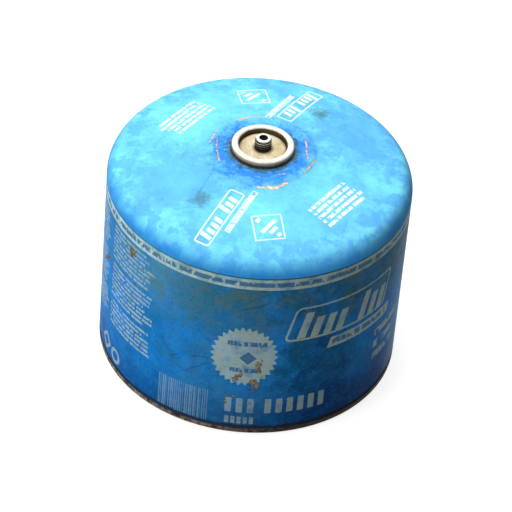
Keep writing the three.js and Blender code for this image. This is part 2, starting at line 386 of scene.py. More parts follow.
@dataclass(frozen=True)
class Effects:
    """The node groups that the finishes share."""

    place: bpy.types.NodeTree
    patches: bpy.types.NodeTree
    bar: bpy.types.NodeTree
    disc: bpy.types.NodeTree
    rows: bpy.types.NodeTree
    stripes: bpy.types.NodeTree
    rust: bpy.types.NodeTree
    grain: bpy.types.NodeTree

    @classmethod
    def build(cls, wall_radius: float) -> "Effects":
        """Make every group.

        Args:
            wall_radius: the vessel's radius in millimetres, which turns angle into arc length.

        Returns:
            The groups.
        """
        return cls(
            place=cls._place(wall_radius),
            patches=cls._patches(),
            bar=cls._bar(),
            disc=cls._disc(),
            rows=cls._rows(),
            stripes=cls._stripes(),
            rust=cls._rust(),
            grain=cls._grain(),
        )

    @staticmethod
    def _place(wall_radius: float) -> bpy.types.NodeTree:
        """Where a point lies on the canister, in millimetres: round the wall, up, and from above.

        Args:
            wall_radius: the vessel's radius in millimetres.

        Returns:
            The group's tree.
        """
        gives = {name: "Float" for name in ("Along", "Height", "Radius", "X", "Y")}
        effect = Effect("Canister Place", {}, {"Point": "Vector", **gives})
        w = effect.wiring
        scaled = w.node("VectorMath", operation="SCALE")
        w.feed(scaled.inputs[0], w.node("TexCoord").outputs["Object"])
        scaled.inputs["Scale"].default_value = 1 / MM
        split = w.node("SeparateXYZ")
        w.feed(split.inputs[0], scaled.outputs[0])
        x, y, z = (w.read(split, index) for index in range(3))
        along = w.math("ARCTAN2", x, y * -1.0) * wall_radius
        point, radius = scaled.outputs[0], w.length(x, y)
        return effect.give(Point=point, Along=along, Height=z, Radius=radius, X=x, Y=y)

    @staticmethod
    def _patches() -> bpy.types.NodeTree:
        """Irregular patches, such as stains and worn paint, that cover a share of the surface.

        Returns:
            The group's tree.
        """
        takes = {"Point": "Vector", "Size": 10.0, "Coverage": 0.5, "Softness": 0.1, "Seed": 0.0}
        effect = Effect("Irregular Patches", takes, {"Mask": "Float"})
        w, given = effect.wiring, effect.inputs
        moved = w.node("VectorMath", operation="ADD")
        w.feed(moved.inputs[0], given["Point"])
        w.feed(moved.inputs[1], w.join(given["Seed"] * 31.7, given["Seed"] * 17.3))
        noise = w.cloud(moved.outputs[0], given["Size"], 6, 0.62)
        edge = 0.72 - given["Coverage"] * 0.44
        return effect.give(Mask=w.ramp(noise, edge - given["Softness"], edge + given["Softness"]))

    @staticmethod
    def _turned(w: Wiring, given: Place) -> tuple[Value, Value]:
        """Place a point relative to a shape's centre and turn.

        Args:
            w: the group's wiring.
            given: the group's inputs.

        Returns:
            The place along the shape and across it.
        """
        dx, dy = given["X"] - given["Centre X"], given["Y"] - given["Centre Y"]
        cosine, sine = w.math("COSINE", given["Turn"]), w.math("SINE", given["Turn"])
        return dx * cosine + dy * sine, dy * cosine - dx * sine

    @classmethod
    def _bar(cls) -> bpy.types.NodeTree:
        """Distance to a bar with rounded corners, less than 0 inside; it may be turned or slanted.

        Returns:
            The group's tree.
        """
        takes = dict.fromkeys(("X", "Y", "Centre X", "Centre Y", "Turn", "Slant"), 0.0)
        takes |= {"Half Width": 1.0, "Half Height": 1.0, "Corner": 0.2}
        effect = Effect("Printed Bar", takes, {"Distance": "Float"})
        w, given = effect.wiring, effect.inputs
        along, across = cls._turned(w, given)
        along = along - across * given["Slant"]
        beyond = []
        for value, half in ((along, "Half Width"), (across, "Half Height")):
            inner = given[half] - given["Corner"]
            beyond.append(w.math("ABSOLUTE", value) - inner)
        length = w.length(*[w.math("MAXIMUM", value, 0.0) for value in beyond])
        inside = w.math("MINIMUM", w.most(beyond), 0.0)
        return effect.give(Distance=length + inside - given["Corner"])

    @staticmethod
    def _disc() -> bpy.types.NodeTree:
        """Distance to an oval disc whose edge may have pointed teeth.

        Returns:
            The group's tree.
        """
        takes = dict.fromkeys(("X", "Y", "Centre X", "Centre Y", "Teeth", "Depth"), 0.0)
        takes |= {"Half Width": 1.0, "Half Height": 1.0}
        effect = Effect("Printed Disc", takes, {"Distance": "Float"})
        w, given = effect.wiring, effect.inputs
        dx = (given["X"] - given["Centre X"]) / given["Half Width"]
        dy = (given["Y"] - given["Centre Y"]) / given["Half Height"]
        turn = w.math("ARCTAN2", dy, dx) / (2 * math.pi)
        tooth = w.math("PINGPONG", turn * given["Teeth"], 0.5)
        edge = 1.0 - given["Depth"] / given["Half Width"] * tooth * 2.0
        return effect.give(Distance=(w.length(dx, dy) - edge) * given["Half Width"])

    @classmethod
    def _rows(cls) -> bpy.types.NodeTree:
        """A block of fine ruled rows, broken into dashes, with a ragged end.

        Returns:
            The group's tree.
        """
        takes = dict.fromkeys(("X", "Y", "Centre X", "Centre Y", "Turn", "Seed"), 0.0)
        takes |= {"Width": 20.0, "Height": 10.0, "Pitch": 2.0, "Dash": 1.0, "Ragged": 0.0}
        effect = Effect("Printed Rows", takes, {"Mask": "Float"})
        w, given = effect.wiring, effect.inputs
        along, across = cls._turned(w, given)
        step = across / given["Pitch"]
        row = w.math("FLOOR", step)
        line = w.ramp(w.math("ABSOLUTE", step - row - 0.5), 0.34, 0.24)
        chance = w.node("TexWhiteNoise", noise_dimensions="1D")
        w.feed(chance.inputs["W"], row + given["Seed"])
        reach = given["Width"] - given["Ragged"] * w.read(chance, "Value")
        inside = w.within(along, reach, 0.2) * w.within(across, given["Height"], 0.1)
        noise = w.node("TexNoise", noise_dimensions="2D")
        w.feed(noise.inputs["Vector"], w.join(along / given["Dash"], step * 0.9 + row * 5.3))
        noise.inputs["Scale"].default_value = 1.0
        noise.inputs["Detail"].default_value = 2.5
        broken = w.ramp(w.read(noise, "Fac"), 0.37, 0.47)
        return effect.give(Mask=line * inside * broken)

    @staticmethod
    def _stripes() -> bpy.types.NodeTree:
        """Upright stripes of uneven width inside a box.

        Returns:
            The group's tree.
        """
        takes = dict.fromkeys(("X", "Y", "Left", "Bottom"), 0.0)
        takes |= {"Width": 20.0, "Height": 10.0, "Pitch": 1.0}
        effect = Effect("Printed Stripes", takes, {"Mask": "Float"})
        w, given = effect.wiring, effect.inputs
        along, up = given["X"] - given["Left"], given["Y"] - given["Bottom"]
        cell = along / given["Pitch"]
        chance = w.node("TexWhiteNoise", noise_dimensions="1D")
        w.feed(chance.inputs["W"], w.math("FLOOR", cell))
        share = 0.2 + w.read(chance, "Value") * 0.55
        stripe = w.ramp(w.math("FRACT", cell), share + 0.08, share - 0.08)
        inside = w.within(along, given["Width"], 0.1) * w.within(up, given["Height"], 0.15)
        return effect.give(Mask=stripe * inside)

    @staticmethod
    def _rust() -> bpy.types.NodeTree:
        """Rust and primer that show through a chip, from its pale rim to its brown middle.

        Returns:
            The group's tree.
        """
        takes = {"Point": "Vector", "Mask": 0.0, "Fresh": 0.0}
        gives = {"Color": "Color", "Roughness": "Float", "Height": "Float"}
        effect = Effect("Rust In Chips", takes, gives)
        w, given = effect.wiring, effect.inputs
        fine, coarse = w.cloud(given["Point"], 0.5, 5, 0.7), w.cloud(given["Point"], 1.6, 3)
        old = w.tint(w.ramp(fine, 0.4, 0.6), Rust.OLD_DARK.value, Rust.OLD_LIGHT.value)
        new = w.tint(w.ramp(fine, 0.4, 0.54), Rust.FRESH_DARK.value, Rust.FRESH_LIGHT.value)
        rim = w.tint(given["Fresh"], Rust.OLD_RIM.value, Rust.FRESH_RIM.value)
        rust = w.tint(given["Fresh"], old, new)
        colour = w.tint(w.ramp(coarse, 0.54, 0.62) * 0.7, rust, rim)
        height = (fine - 0.9) * given["Mask"]
        return effect.give(Color=colour, Roughness=w.level(fine, 0.75, 0.95), Height=height)

    @staticmethod
    def _grain() -> bpy.types.NodeTree:
        """Fine unevenness of a surface: a height and a spread of roughness.

        Returns:
            The group's tree.
        """
        takes = {"Point": "Vector", "Size": 1.0, "Roughness": 0.5, "Spread": 0.1}
        effect = Effect("Surface Grain", takes, {"Height": "Float", "Roughness": "Float"})
        w, given = effect.wiring, effect.inputs
        fine = w.cloud(given["Point"], given["Size"], 5, 0.5)
        swing = (fine - 0.5) * given["Spread"] * 2.0
        rough = w.math("ADD", given["Roughness"], swing, clamp=True)
        return effect.give(Height=fine, Roughness=rough)


class Surface(Wiring):
    """A material's wiring that knows the shared groups and where its point lies."""

    def __init__(self, tree: bpy.types.NodeTree, effects: Effects) -> None:
        """Find the point, in millimetres.

        Args:
            tree: the material's tree.
            effects: the shared node groups.
        """
        super().__init__(tree)
        self.effects = effects
        at = self.call(effects.place)
        self.point, self.along, self.height = at["Point"], at["Along"], at["Height"]
        self.radius, self.x, self.y = at["Radius"], at["X"], at["Y"]

    def spots(self, size: float, cover: float, soft: float, seed: float = 0.0) -> Value:
        """Give the mask of irregular patches of about one size that cover a share of the surface."""
        given = {"Size": size, "Coverage": cover, "Softness": soft, "Seed": seed}
        return self.call(self.effects.patches, Point=self.point, **given)["Mask"]

    def grain(self, size: float, rough: float, spread: float) -> Place:
        """Give a fine relief and an uneven roughness."""
        given = {"Size": size, "Roughness": rough, "Spread": spread}
        return self.call(self.effects.grain, Point=self.point, **given)

    def wander(self, size: float, detail: float, rough: float, reach: float) -> Value:
        """Give soft noise about 0 that spans the given reach."""
        return (self.cloud(self.point, size, detail, rough) - 0.5) * reach


class Finish:
    """What every finish shares: a material with one Principled shader."""

    effects: Effects
    title = "finish"
    shine = 0.5

    def start(self) -> tuple[Surface, bpy.types.Node]:
        """Make the material and its shader.

        Returns:
            The wiring of the material's tree, and its Principled node.
        """
        material = bpy.data.materials.new(self.title)
        material.use_nodes = True
        tree = material.node_tree
        tree.nodes.clear()
        wiring = Surface(tree, self.effects)
        shader = wiring.node("BsdfPrincipled")
        shader.inputs["Specular IOR Level"].default_value = self.shine
        output = wiring.node("OutputMaterial")
        tree.links.new(shader.outputs[0], output.inputs[0])
        return wiring, shader

    @staticmethod
    def emboss(w: Wiring, shader: bpy.types.Node, height: Feed, depth_mm: float) -> None:
        """Give the surface a fine relief.

        Args:
            w: the material's wiring.
            shader: its Principled node.
            height: the relief, from 0 to 1.
            depth_mm: how deep 1 is.
        """
        bump = w.node("Bump")
        bump.inputs["Strength"].default_value = 1.0
        bump.inputs["Distance"].default_value = depth_mm * MM
        w.feed(bump.inputs["Height"], height)
        w.feed(shader.inputs["Normal"], bump.outputs[0])

    @staticmethod
    def material_of(w: Wiring) -> bpy.types.Material:
        """Find the material that a wiring's tree belongs to."""
        return next(m for m in bpy.data.materials if m.node_tree == w.tree)


@dataclass(frozen=True)
class Bar:
    """A printed bar: centre, width, height, and how it is turned or slanted, in millimetres."""

    x: float
    y: float
    width: float
    height: float
    turn: float = 0.0
    slant: float = 0.0
    corner: float = 0.2
    stroke: float = 0.0

    def distance(self, w: Surface, x: Value, y: Value) -> Value:
        """Give the distance to the bar, or to its outline where it has a stroke.

        Args:
            w: the material's wiring.
            x: the point's place along the print.
            y: the point's place up the print.

        Returns:
            The distance in millimetres, less than 0 inside.
        """
        place = {"X": x, "Y": y, "Centre_X": self.x, "Centre_Y": self.y, "Turn": math.radians(self.turn)}
        size = {"Half_Width": self.width / 2, "Half_Height": self.height / 2, "Corner": self.corner}
        inside = w.call(w.effects.bar, **place, **size, Slant=self.slant)["Distance"]
        if not self.stroke:
            return inside
        middle = w.math("ABSOLUTE", inside + self.stroke / 2)
        return middle - self.stroke / 2


@dataclass(frozen=True)
class Rows:
    """A printed block of fine rows: lower left corner, width, height and pitch."""

    x: float
    y: float
    width: float
    height: float
    pitch: float
    dash: float = 1.1
    ragged: float = 0.0
    turn: float = 0.0
    seed: float = 0.0

    def mask(self, w: Surface, x: Value, y: Value) -> Value:
        """Give the mask of the rows at a point of the print.

        Args:
            w: the material's wiring.
            x: the point's place along the print.
            y: the point's place up the print.

        Returns:
            The mask.
        """
        place = {"X": x, "Y": y, "Centre_X": self.x, "Centre_Y": self.y, "Turn": math.radians(self.turn)}
        size = {"Width": self.width, "Height": self.height, "Pitch": self.pitch, "Dash": self.dash}
        return w.call(w.effects.rows, **place, **size, Ragged=self.ragged, Seed=self.seed)["Mask"]


def slanted_row(x: float, y: float, tall: float, step: float, pattern: str, slant: float) -> list[Bar]:
    """Set out a row of slanted bars that stand on one line.

    Args:
        x: where the first bar's foot starts.
        y: the line they stand on.
        tall: height of a tall bar; a short one has three quarters of it.
        step: from one bar to the next.
        pattern: T for a tall bar, s for a short one and a blank for a gap.
        slant: how far the bars lean for each millimetre up.

    Returns:
        The bars.
    """
    bars = []
    for place, letter in enumerate(pattern):
        if letter == " ":
            continue
        height = tall if letter == "T" else tall * 0.75
        middle = y + height / 2
        centre = x + (place + 0.4) * step + slant * height / 2
        bars.append(Bar(centre, middle, step * 0.62, height, slant=slant, corner=0.25))
    return bars


def turned_about(bar: Bar, x: float, y: float, turn: float) -> Bar:
    """Move a bar given in a label's own frame to where the label lies.

    Args:
        bar: the bar, in the label's frame.
        x: the label's origin.
        y: the label's origin.
        turn: the label's angle in degrees.

    Returns:
        The bar on the surface.
    """
    angle = math.radians(turn)
    moved_x = x + bar.x * math.cos(angle) - bar.y * math.sin(angle)
    moved_y = y + bar.x * math.sin(angle) + bar.y * math.cos(angle)
    return Bar(moved_x, moved_y, bar.width, bar.height, bar.turn + turn, bar.slant, bar.corner, bar.stroke)


def scratch(start: Point, end: Point, width: float = 0.22) -> Bar:
    """Lay a thin bar from one point to another.

    Args:
        start: one end.
        end: the other end.
        width: how wide it is.

    Returns:
        The bar.
    """
    dx, dy = end[0] - start[0], end[1] - start[1]
    middle = ((start[0] + end[0]) / 2, (start[1] + end[1]) / 2)
    turn = math.degrees(math.atan2(dy, dx))
    return Bar(*middle, math.hypot(dx, dy), width, turn=turn, corner=width / 2)


@dataclass(frozen=True)
class WallPrint:
    """What is printed round the wall, all of it plain shapes. Along is 0 at the front."""

    band_low: float = 67.1
    band_high: float = 71.7
    line_high: float = 72.3
    slant: float = 0.26
    frame_lefts: tuple[float, ...] = (13.2, -146.0)
    seal_height: float = 36.2
    seal_half: Point = (12.0, 13.6)
    seal_teeth: float = 30.0
    tooth_depth: float = 1.5
    stripes_corner: Point = (-31.0, 3.4)
    stripes_size: Point = (19.6, 14.6)
    stripes_pitch: float = 0.83

    def framed_mark(self, x: float) -> list[Bar]:
        """The large slanted frame with a row of slanted bars in it, whose left foot is at x."""
        outline = Bar(x + 23.8, 50.6, 43.6, 15.2, slant=self.slant, corner=2.4, stroke=0.85)
        return [outline, *slanted_row(x + 4.2, 43.9, 11.6, 4.9, "Tsss Tss", self.slant)]

    def frame_foot(self, x: float) -> Bar:
        """The filled bar under the frame."""
        return Bar(x + 32.6, 38.8, 30.5, 4.7, slant=self.slant, corner=0.3)

    def seal(self, w: Surface) -> Value:
        """Give the distance to the toothed seal on the front.

        Args:
            w: the material's wiring.

        Returns:
            The distance in millimetres.
        """
        wide, tall = self.seal_half
        size = {"Half_Width": wide, "Half_Height": tall, "Teeth": self.seal_teeth, "Depth": self.tooth_depth}
        return w.call(w.effects.disc, X=w.along, Y=w.height, Centre_Y=self.seal_height, **size)["Distance"]

    def stripes(self, w: Surface) -> Value:
        """Give the mask of the stripes at the foot.

        Args:
            w: the material's wiring.

        Returns:
            The mask.
        """
        left, bottom = self.stripes_corner
        place = {"X": w.along, "Y": w.height, "Left": left, "Bottom": bottom}
        wide, tall = self.stripes_size
        return w.call(w.effects.stripes, **place, Width=wide, Height=tall, Pitch=self.stripes_pitch)["Mask"]

    def dark_rows(self) -> list[Rows]:
        """The dark dashes on the band, the seal and the bars under the frames.

        Returns:
            The blocks of rows.
        """
        return [
            Rows(-169.0, 67.7, 338.0, 3.4, 3.4, 1.3, seed=1.0),
            Rows(-6.2, 40.3, 14.0, 3.6, 3.6, 1.3, seed=2.0),
            Rows(-4.8, 28.2, 11.4, 3.3, 3.3, 1.2, seed=3.0),
            Rows(31.8, 36.8, 27.0, 4.1, 4.1, 2.2, seed=4.0),
            Rows(-127.4, 36.8, 27.0, 4.1, 4.1, 2.2, seed=5.0),
        ]

    def blocks(self) -> list[Bar]:
        """The two rows of plain blocks near the foot.

        Returns:
            The blocks.
        """
        large = [Bar(-4.2 + 3.95 * i, 13.1, 2.3, 6.8, corner=0.4) for i in range(3)]
        large += [Bar(9.9 + 3.95 * i, 13.1, 2.3, 6.8, corner=0.4) for i in range(6)]
        small = [Bar(-4.4 + 2.2 * i, 6.0, 1.5, 3.3, corner=0.25) for i in range(5)]
        return large + small

    def signs(self) -> list[Bar]:
        """A plain ring and a plain diamond near the foot on the left.

        Returns:
            The outlines of the two.
        """
        ring = Bar(-55.4, 7.6, 6.6, 6.6, corner=3.3, stroke=1.4)
        diamond = Bar(-63.4, 9.0, 6.0, 6.0, turn=45, corner=0.4, stroke=1.3)
        return [ring, diamond]

    def columns(self) -> list[Rows]:
        """The blocks of fine rows, in columns on the left and at the back.

        Returns:
            The blocks of rows.
        """
        made = []
        for left, seed in ((-61.0, 0.0), (-89.0, 40.0), (92.0, 80.0), (121.0, 120.0)):
            for low, height in ((50.4, 15.6), (33.4, 15.6), (20.4, 11.6)):
                made.append(Rows(left, low, 26.0, height, 1.95, 1.25, 5.5, seed=seed + low))
        made.append(Rows(53.4, 17.0, 19.0, 16.8, 5.6, 2.6, 5.0, seed=9.0))
        return made


@dataclass(frozen=True)
class DomePrint:
    """What is printed on the front half of the dome; the back half repeats it, turned round.

    Places are given from the print's own middle, which lies a little in front of the valve's axis.
    """

    middle_x: float = -0.3
    middle_y: float = -2.0
    frame_turn: float = 64.5
    square_turn: float = 13.5

    def outlines(self) -> list[Bar]:
        """The framed row of bars, the bar beside it, and the square with its few bars.

        Returns:
            All the bars of one half.
        """
        label = [Bar(0, 0, 25.4, 6.0, corner=1.1, stroke=0.5)]
        label += slanted_row(-10.6, -2.1, 4.4, 2.55, "Tsss Tss", 0.2)
        made = [turned_about(bar, -12.3, -32.5, self.frame_turn) for bar in label]
        made.append(Bar(-5.0, -29.7, 20.4, 2.1, turn=self.frame_turn + 0.5, corner=0.3, stroke=0.35))
        inside = [
            Bar(0, 0, 10.6, 10.6, corner=0.3, stroke=0.45),
            Bar(0.2, 0.4, 7.4, 1.4, turn=41),
            Bar(1.6, -1.4, 3.6, 1.4, turn=41),
            Bar(-3.0, 3.2, 1.9, 1.5, turn=41),
            Bar(3.3, -3.4, 1.6, 1.3, turn=41),
        ]
        made += [turned_about(bar, 4.6, -35.6, self.square_turn) for bar in inside]
        return made

    def lines(self) -> list[Rows]:
        """The slanting block of fine rows on the right, and the dashes of the bar on the left.

        Returns:
            The two blocks of rows.
        """
        block = Rows(26.3, -31.9, 22.0, 11.0, 2.2, 1.2, 2.2, turn=56.0, seed=3.0)
        dashes = Rows(-8.2, -38.9, 19.2, 1.9, 1.9, 0.9, turn=65.0, seed=5.0)
        return [block, dashes]


@dataclass(frozen=True)
class CanPaint(Finish):
    """Printed blue enamel, scratched and grimy, with rust in its chips and on its bead, and with painted
    shade and painted light laid into its colour.
    """

    effects: Effects
    wall_radius: float
    bead_radius: float
    ring_radius: float
    seam_height: float
    wall_top: float
    title = "blue enamel"
    shine = 0.02
    deep: Colour = shade("168ae4")
    deepest: Colour = shade("073e70")
    teal: Colour = shade("35707c")
    light_teal: Colour = shade("68a6b0")
    sky: Colour = shade("80e8fd")
    sky_shade: Colour = shade("6cc8f4")
    bruise: Colour = shade("58a8f2")
    collar_blue: Colour = shade("3186ee")
    pale: Colour = shade("b0d0d4")
    white: Colour = shade("effcff")
    soot: Colour = shade("2a2722")
    ink_blue: Colour = shade("1d5f93")
    deep_spot: Colour = shade("04254e")
    worn_blue: Colour = shade("2c93da")
    green_blue: Colour = shade("1a6680")
    foot_blue: Colour = shade("0a4a96")
    foot_dark: Colour = shade("02204e")
    painted_far_light: Colour = shade("7fabc8")
    painted_shoulder_shade: Colour = shade("1d4a66")
    pale_band: Colour = shade("d2f6f4")
    pale_right: Colour = shade("929e92")
    band_right: Colour = shade("a0aa96")
    yellowed: Colour = shade("b2b488")
    dark_teal: Colour = shade("1f4e5c")
    olive: Colour = shade("66765c")
    light_grit: Colour = shade("46a2d0")
    ring_teal: Colour = shade("2f5a66")
    ring_green: Colour = shade("5d7c72")
    painted_ring_shadow: Colour = shade("2c2a22")
    smudge: Colour = shade("4a7478")
    tin: Colour = shade("9b9a95")
    tin_spot: Colour = shade("6b5a48")
    tin_dirt: Colour = shade("4a3826")
    seam_left: Colour = shade("94877a")
    seam_right_shade: Colour = shade("3c352c")
    seam_spot: Colour = shade("2c241b")
    smudge_place: Point = (-19.6, -26.6)
    deeper_areas: tuple[Point, ...] = ((-29.0, -17.0), (32.0, 17.0))
    wall_scratches: tuple[tuple[Point, Point], ...] = (
        ((-2.5, 57.4), (8.0, 61.4)),
        ((-22.2, 22.6), (-12.4, 30.8)),
        ((-27.0, 27.6), (-24.0, 30.2)),
        ((-18.6, 32.0), (-12.8, 33.0)),
        ((-54.0, 33.5), (-48.0, 36.4)),
        ((49.0, 27.4), (54.6, 21.0)),
        ((96.0, 18.0), (88.0, 25.0)),
        ((-132.0, 60.0), (-121.0, 52.0)),
    )
    dome_scratches: tuple[tuple[Point, Point], ...] = (
        ((-16.0, -12.0), (-20.5, -24.0)),
        ((-28.0, -7.0), (-27.0, -3.4)),
        ((26.4, 0.6), (27.6, 7.0)),
        ((14.0, 12.0), (19.0, 18.0)),
        ((33.0, -27.0), (34.4, -28.4)),
    )
    bead_rubs: tuple[tuple[Point, Point, float], ...] = (
        ((-1.0, -20.2), (5.4, -20.3), 0.7),
        ((2.6, -19.6), (6.8, -19.8), 1.1),
        ((5.6, -19.8), (9.6, -16.6), 1.0),
        ((6.6, -12.8), (8.6, -12.2), 0.5),
        ((14.7, 7.4), (15.5, 3.0), 0.55),
        ((15.2, 3.2), (16.0, -3.2), 0.45),
        ((18.6, -3.0), (17.2, -7.0), 0.45),
        ((17.0, -7.0), (15.2, -10.6), 0.6),
        ((-16.4, 9.6), (-18.7, 1.6), 0.5),
        ((-16.2, 4.4), (-16.2, -1.4), 0.45),
        ((-15.8, -2.6), (-14.6, -8.8), 0.6),
        ((-9.8, 14.8), (-7.4, 17.6), 1.3),
        ((-8.0, 17.2), (-4.8, 18.6), 1.3),
        ((-5.2, 18.4), (-0.6, 18.4), 1.0),
    )
    wall_chips: tuple[tuple[float, float, float, float, float], ...] = (
        (5.3, 31.6, 1.7, 5.0, 8),
        (-1.8, 26.4, 1.6, 4.4, -40),
        (4.3, 24.0, 2.0, 4.2, 25),
        (3.6, 21.6, 0.6, 1.4, 0),
        (-5.6, 19.4, 0.7, 1.9, 12),
        (-2.8, 16.9, 0.7, 1.6, -20),
        (-5.4, 14.2, 0.5, 2.6, 5),
        (6.2, 34.8, 0.5, 0.9, 0),
        (-47.4, 62.8, 3.0, 4.2, 20),
        (-67.5, 44.5, 1.2, 9.0, -48),
        (78.0, 40.0, 2.2, 5.0, 15),
        (-118.0, 30.0, 1.8, 5.4, -30),
        (150.0, 57.0, 2.6, 3.0, 40),
    )

    def build(self) -> bpy.types.Material:
        """Make the material.

        Returns:
            The finished enamel.
        """
        w, shader = self.start()
        shaky = self._shaky(w)
        wall = w.ramp(w.height, self.wall_top + 0.2, self.wall_top - 0.2)
        ground = self._wall_ground(w)
        dome = self._dome_ground(w)
        wall_ink = self._wall_ink(w, shaky)
        dome_ink = self._dome_ink(w, shaky)
        label = w.tint(wall_ink, ground, self._pale_ink(w))
        cover = w.tint(dome_ink, dome, self.white)
        print_ink = self._dark_ink(w, shaky, wall)
        colour = w.tint(print_ink, w.tint(wall, cover, label), self.ink_blue)
        colour = self._grime_and_shade(w, wall, wall_ink, colour)
        lines = self._scratches(w, shaky, wall)
        chips = self._chips(w, wall)
        rust = w.call(self.effects.rust, Point=w.point, Mask=chips, Fresh=w.flip(wall))
        seam = w.ramp(w.height, self.seam_height - 0.1, self.seam_height - 0.5)
        bare = self._bare(w)
        colour = w.coats(
            colour,
            (lines * 0.7, self.soot),
            # dark rim round each chip on the wall: painted shade of the chip's broken edge
            (w.ramp(chips, 0.02, 0.5) * wall * 0.6, self.soot),
            (w.ramp(chips, 0.35, 0.8), rust["Color"]),
            (seam, self._seam_metal(w)),
            (bare, self._bare_metal(w)),
        )
        w.feed(shader.inputs["Base Color"], colour)
        grain = w.grain(1.4, 0.5, 0.14)
        rough = w.level(chips, grain["Roughness"], rust["Roughness"])
        w.feed(shader.inputs["Roughness"], w.level(seam, rough, 0.6))
        w.feed(shader.inputs["Metallic"], w.most([seam, bare]) * 0.5)
        relief = grain["Height"] * 0.14 + (1.0 - chips) * 0.6 - lines * 0.3
        self.emboss(w, shader, relief, 0.12)
        return self.material_of(w)

    def _shaky(self, w: Surface) -> Value:
        """A small wandering offset that roughens the edges of print and chips."""
        return w.wander(0.9, 5, 0.65, 1.0)

    def _wall_ground(self, w: Surface) -> Value:
        """The wall's blue, deeper towards the foot, and deeper round to the right, partly grime and partly
        painted shade on the side away from the light.

        Args:
            w: the material's wiring.

        Returns:
            The wall's colour under its print.
        """
        drift = w.wander(16, 7, 0.68, 0.95)
        foot = w.ramp(w.height, 42.0, 2.0)
        # right: painted shade, the blue deepening round to the right away from the light, with grime there
        # as well
        right = self._side(w, 12.0, -0.55, 0.9)
        low = w.ramp(w.height, 24.0, 2.0)
        fine = w.wander(3.0, 6, 0.75, 0.55)
        sides = foot * 0.26 + low * 0.34 + right * 0.56
        depth = w.math("ADD", sides + fine, drift, clamp=True)
        far = w.length((w.along - 27.0) / 14.0, (w.height - 16.0) / 34.0) + w.wander(9, 6, 0.7, 2.4)
        # painted light: a paler blue along the wall's right flank, where it turns out of view
        far_right_light = w.ramp(w.along + drift * 30.0, 60.0, 80.0) * w.ramp(w.along, 100.0, 84.0)
        return w.coats(
            w.tint(depth, self.deep, self.deepest),
            (w.ramp(far, 1.25, 0.75) * 0.72, self.deep_spot),
            (w.spots(7.0, 0.4, 0.06, 2.0) * (0.18 + right * 0.22), self.deepest),
            (w.spots(5.5, 0.4, 0.08, 11.0) * (0.34 - right * 0.28), self.worn_blue),
            (w.spots(9.0, 0.5, 0.1, 16.0) * w.ramp(w.height, 10.0, 30.0) * 0.38, self.green_blue),
            (low * 0.3, self.foot_blue),
            # darker still at the foot on the right: partly painted shade
            (low * right * 0.55, self.foot_dark),
            (far_right_light * 0.55, self.painted_far_light),
        )

    def _side(self, w: Surface, along: float, low: float, high: float) -> Value:
        """Rise from one side of the canister to the other, about a place on the wall.

        Args:
            w: the material's wiring.
            along: the place, as a length round the wall from the front.
            low: the sine at which the mask starts.
            high: the sine at which it is full.

        Returns:
            The mask.
        """
        return w.ramp(w.math("SINE", (w.along - along) / self.wall_radius), low, high)

    def _dome_ground(self, w: Surface) -> Value:
        """The dome's sky blue, mottled, and a deeper blue round the valve; the deeper blue down the
        shoulder, darkest on the right, is painted shade.

        Args:
            w: the material's wiring.

        Returns:
            The dome's colour under its print.
        """
        mottled = w.spots(15.0, 0.5, 0.14, 1.0) * 0.72 + w.spots(3.2, 0.4, 0.09, 4.0) * 0.28
        # outer: deeper blue patches gather towards the shoulder and round to the right, partly painted shade
        outer = w.most([w.ramp(w.radius, 34.0, 50.0), self._side(w, 42.0, 0.1, 0.9) * 0.7])
        rough = w.wander(6, 7, 0.78, 1.0)
        found = [w.length(w.x - x, w.y - y) + rough * 60.0 for x, y in self.deeper_areas]
        reach = w.radius + rough * 24.0 + (w.y * 0.12 + w.x * 0.05)
        near = w.ramp(reach, self.bead_radius + 1.6, self.ring_radius + 2.4)
        # edge: painted shade down the shoulder, where the dome turns away from the light
        edge = w.ramp(w.height + rough * 3.0, 79.5, self.wall_top + 0.6)
        # right: painted shade on the right of the shoulder, away from the light
        right = self._side(w, 20.0, 0.15, 0.8)
        return w.coats(
            w.tint(mottled, self.sky, self.sky_shade),
            (w.spots(6.0, 0.46, 0.05, 13.0) * outer * 0.62, self.bruise),
            *[(w.ramp(far, 21.0, 12.0) * 0.5, self.bruise) for far in found],
            (w.spots(1.5, 0.14, 0.04, 19.0) * 0.5, self.collar_blue),
            (w.ramp(reach, self.bead_radius + 10.0, self.bead_radius - 2.0) * 0.5, self.bruise),
            (near * 0.92, self.collar_blue),
            (w.spots(1.8, 0.34, 0.05, 14.0) * near * 0.55, self.sky_shade),
            (edge * 0.8, self.deep),
            (right * w.ramp(w.height, 79.0, 75.5) * 0.6, self.painted_shoulder_shade),
        )

    def _wall_ink(self, w: Surface, shaky: Value) -> Value:
        """Mask of the pale print on the wall.

        Args:
            w: the material's wiring.
            shaky: the small offset that roughens edges.

        Returns:
            The mask.
        """
        design = WallPrint()
        x, y = w.along, w.height
        middle, half = (design.band_low + design.band_high) / 2, (design.band_high - design.band_low) / 2
        band = w.math("ABSOLUTE", y - middle) - half
        bars = [*design.blocks(), *design.signs()]
        for left in design.frame_lefts:
            bars += [*design.framed_mark(left), design.frame_foot(left)]
        distances = [bar.distance(w, x, y) for bar in bars]
        nearest = w.least([band, design.seal(w), *distances])
        solid = w.ramp(nearest + shaky * 0.5, 0.09, -0.09)
        rows = [rows.mask(w, x, y) for rows in design.columns()]
        ink = w.most([solid, design.stripes(w) * 0.62, *[mask * 0.9 for mask in rows]])
        worn = w.spots(5.0, 0.3, 0.12, 7.0)
        thin = w.level(w.ramp(y, 19.0, 22.0), 0.76, 1.0)
        return ink * thin * (0.92 - worn * 0.42)

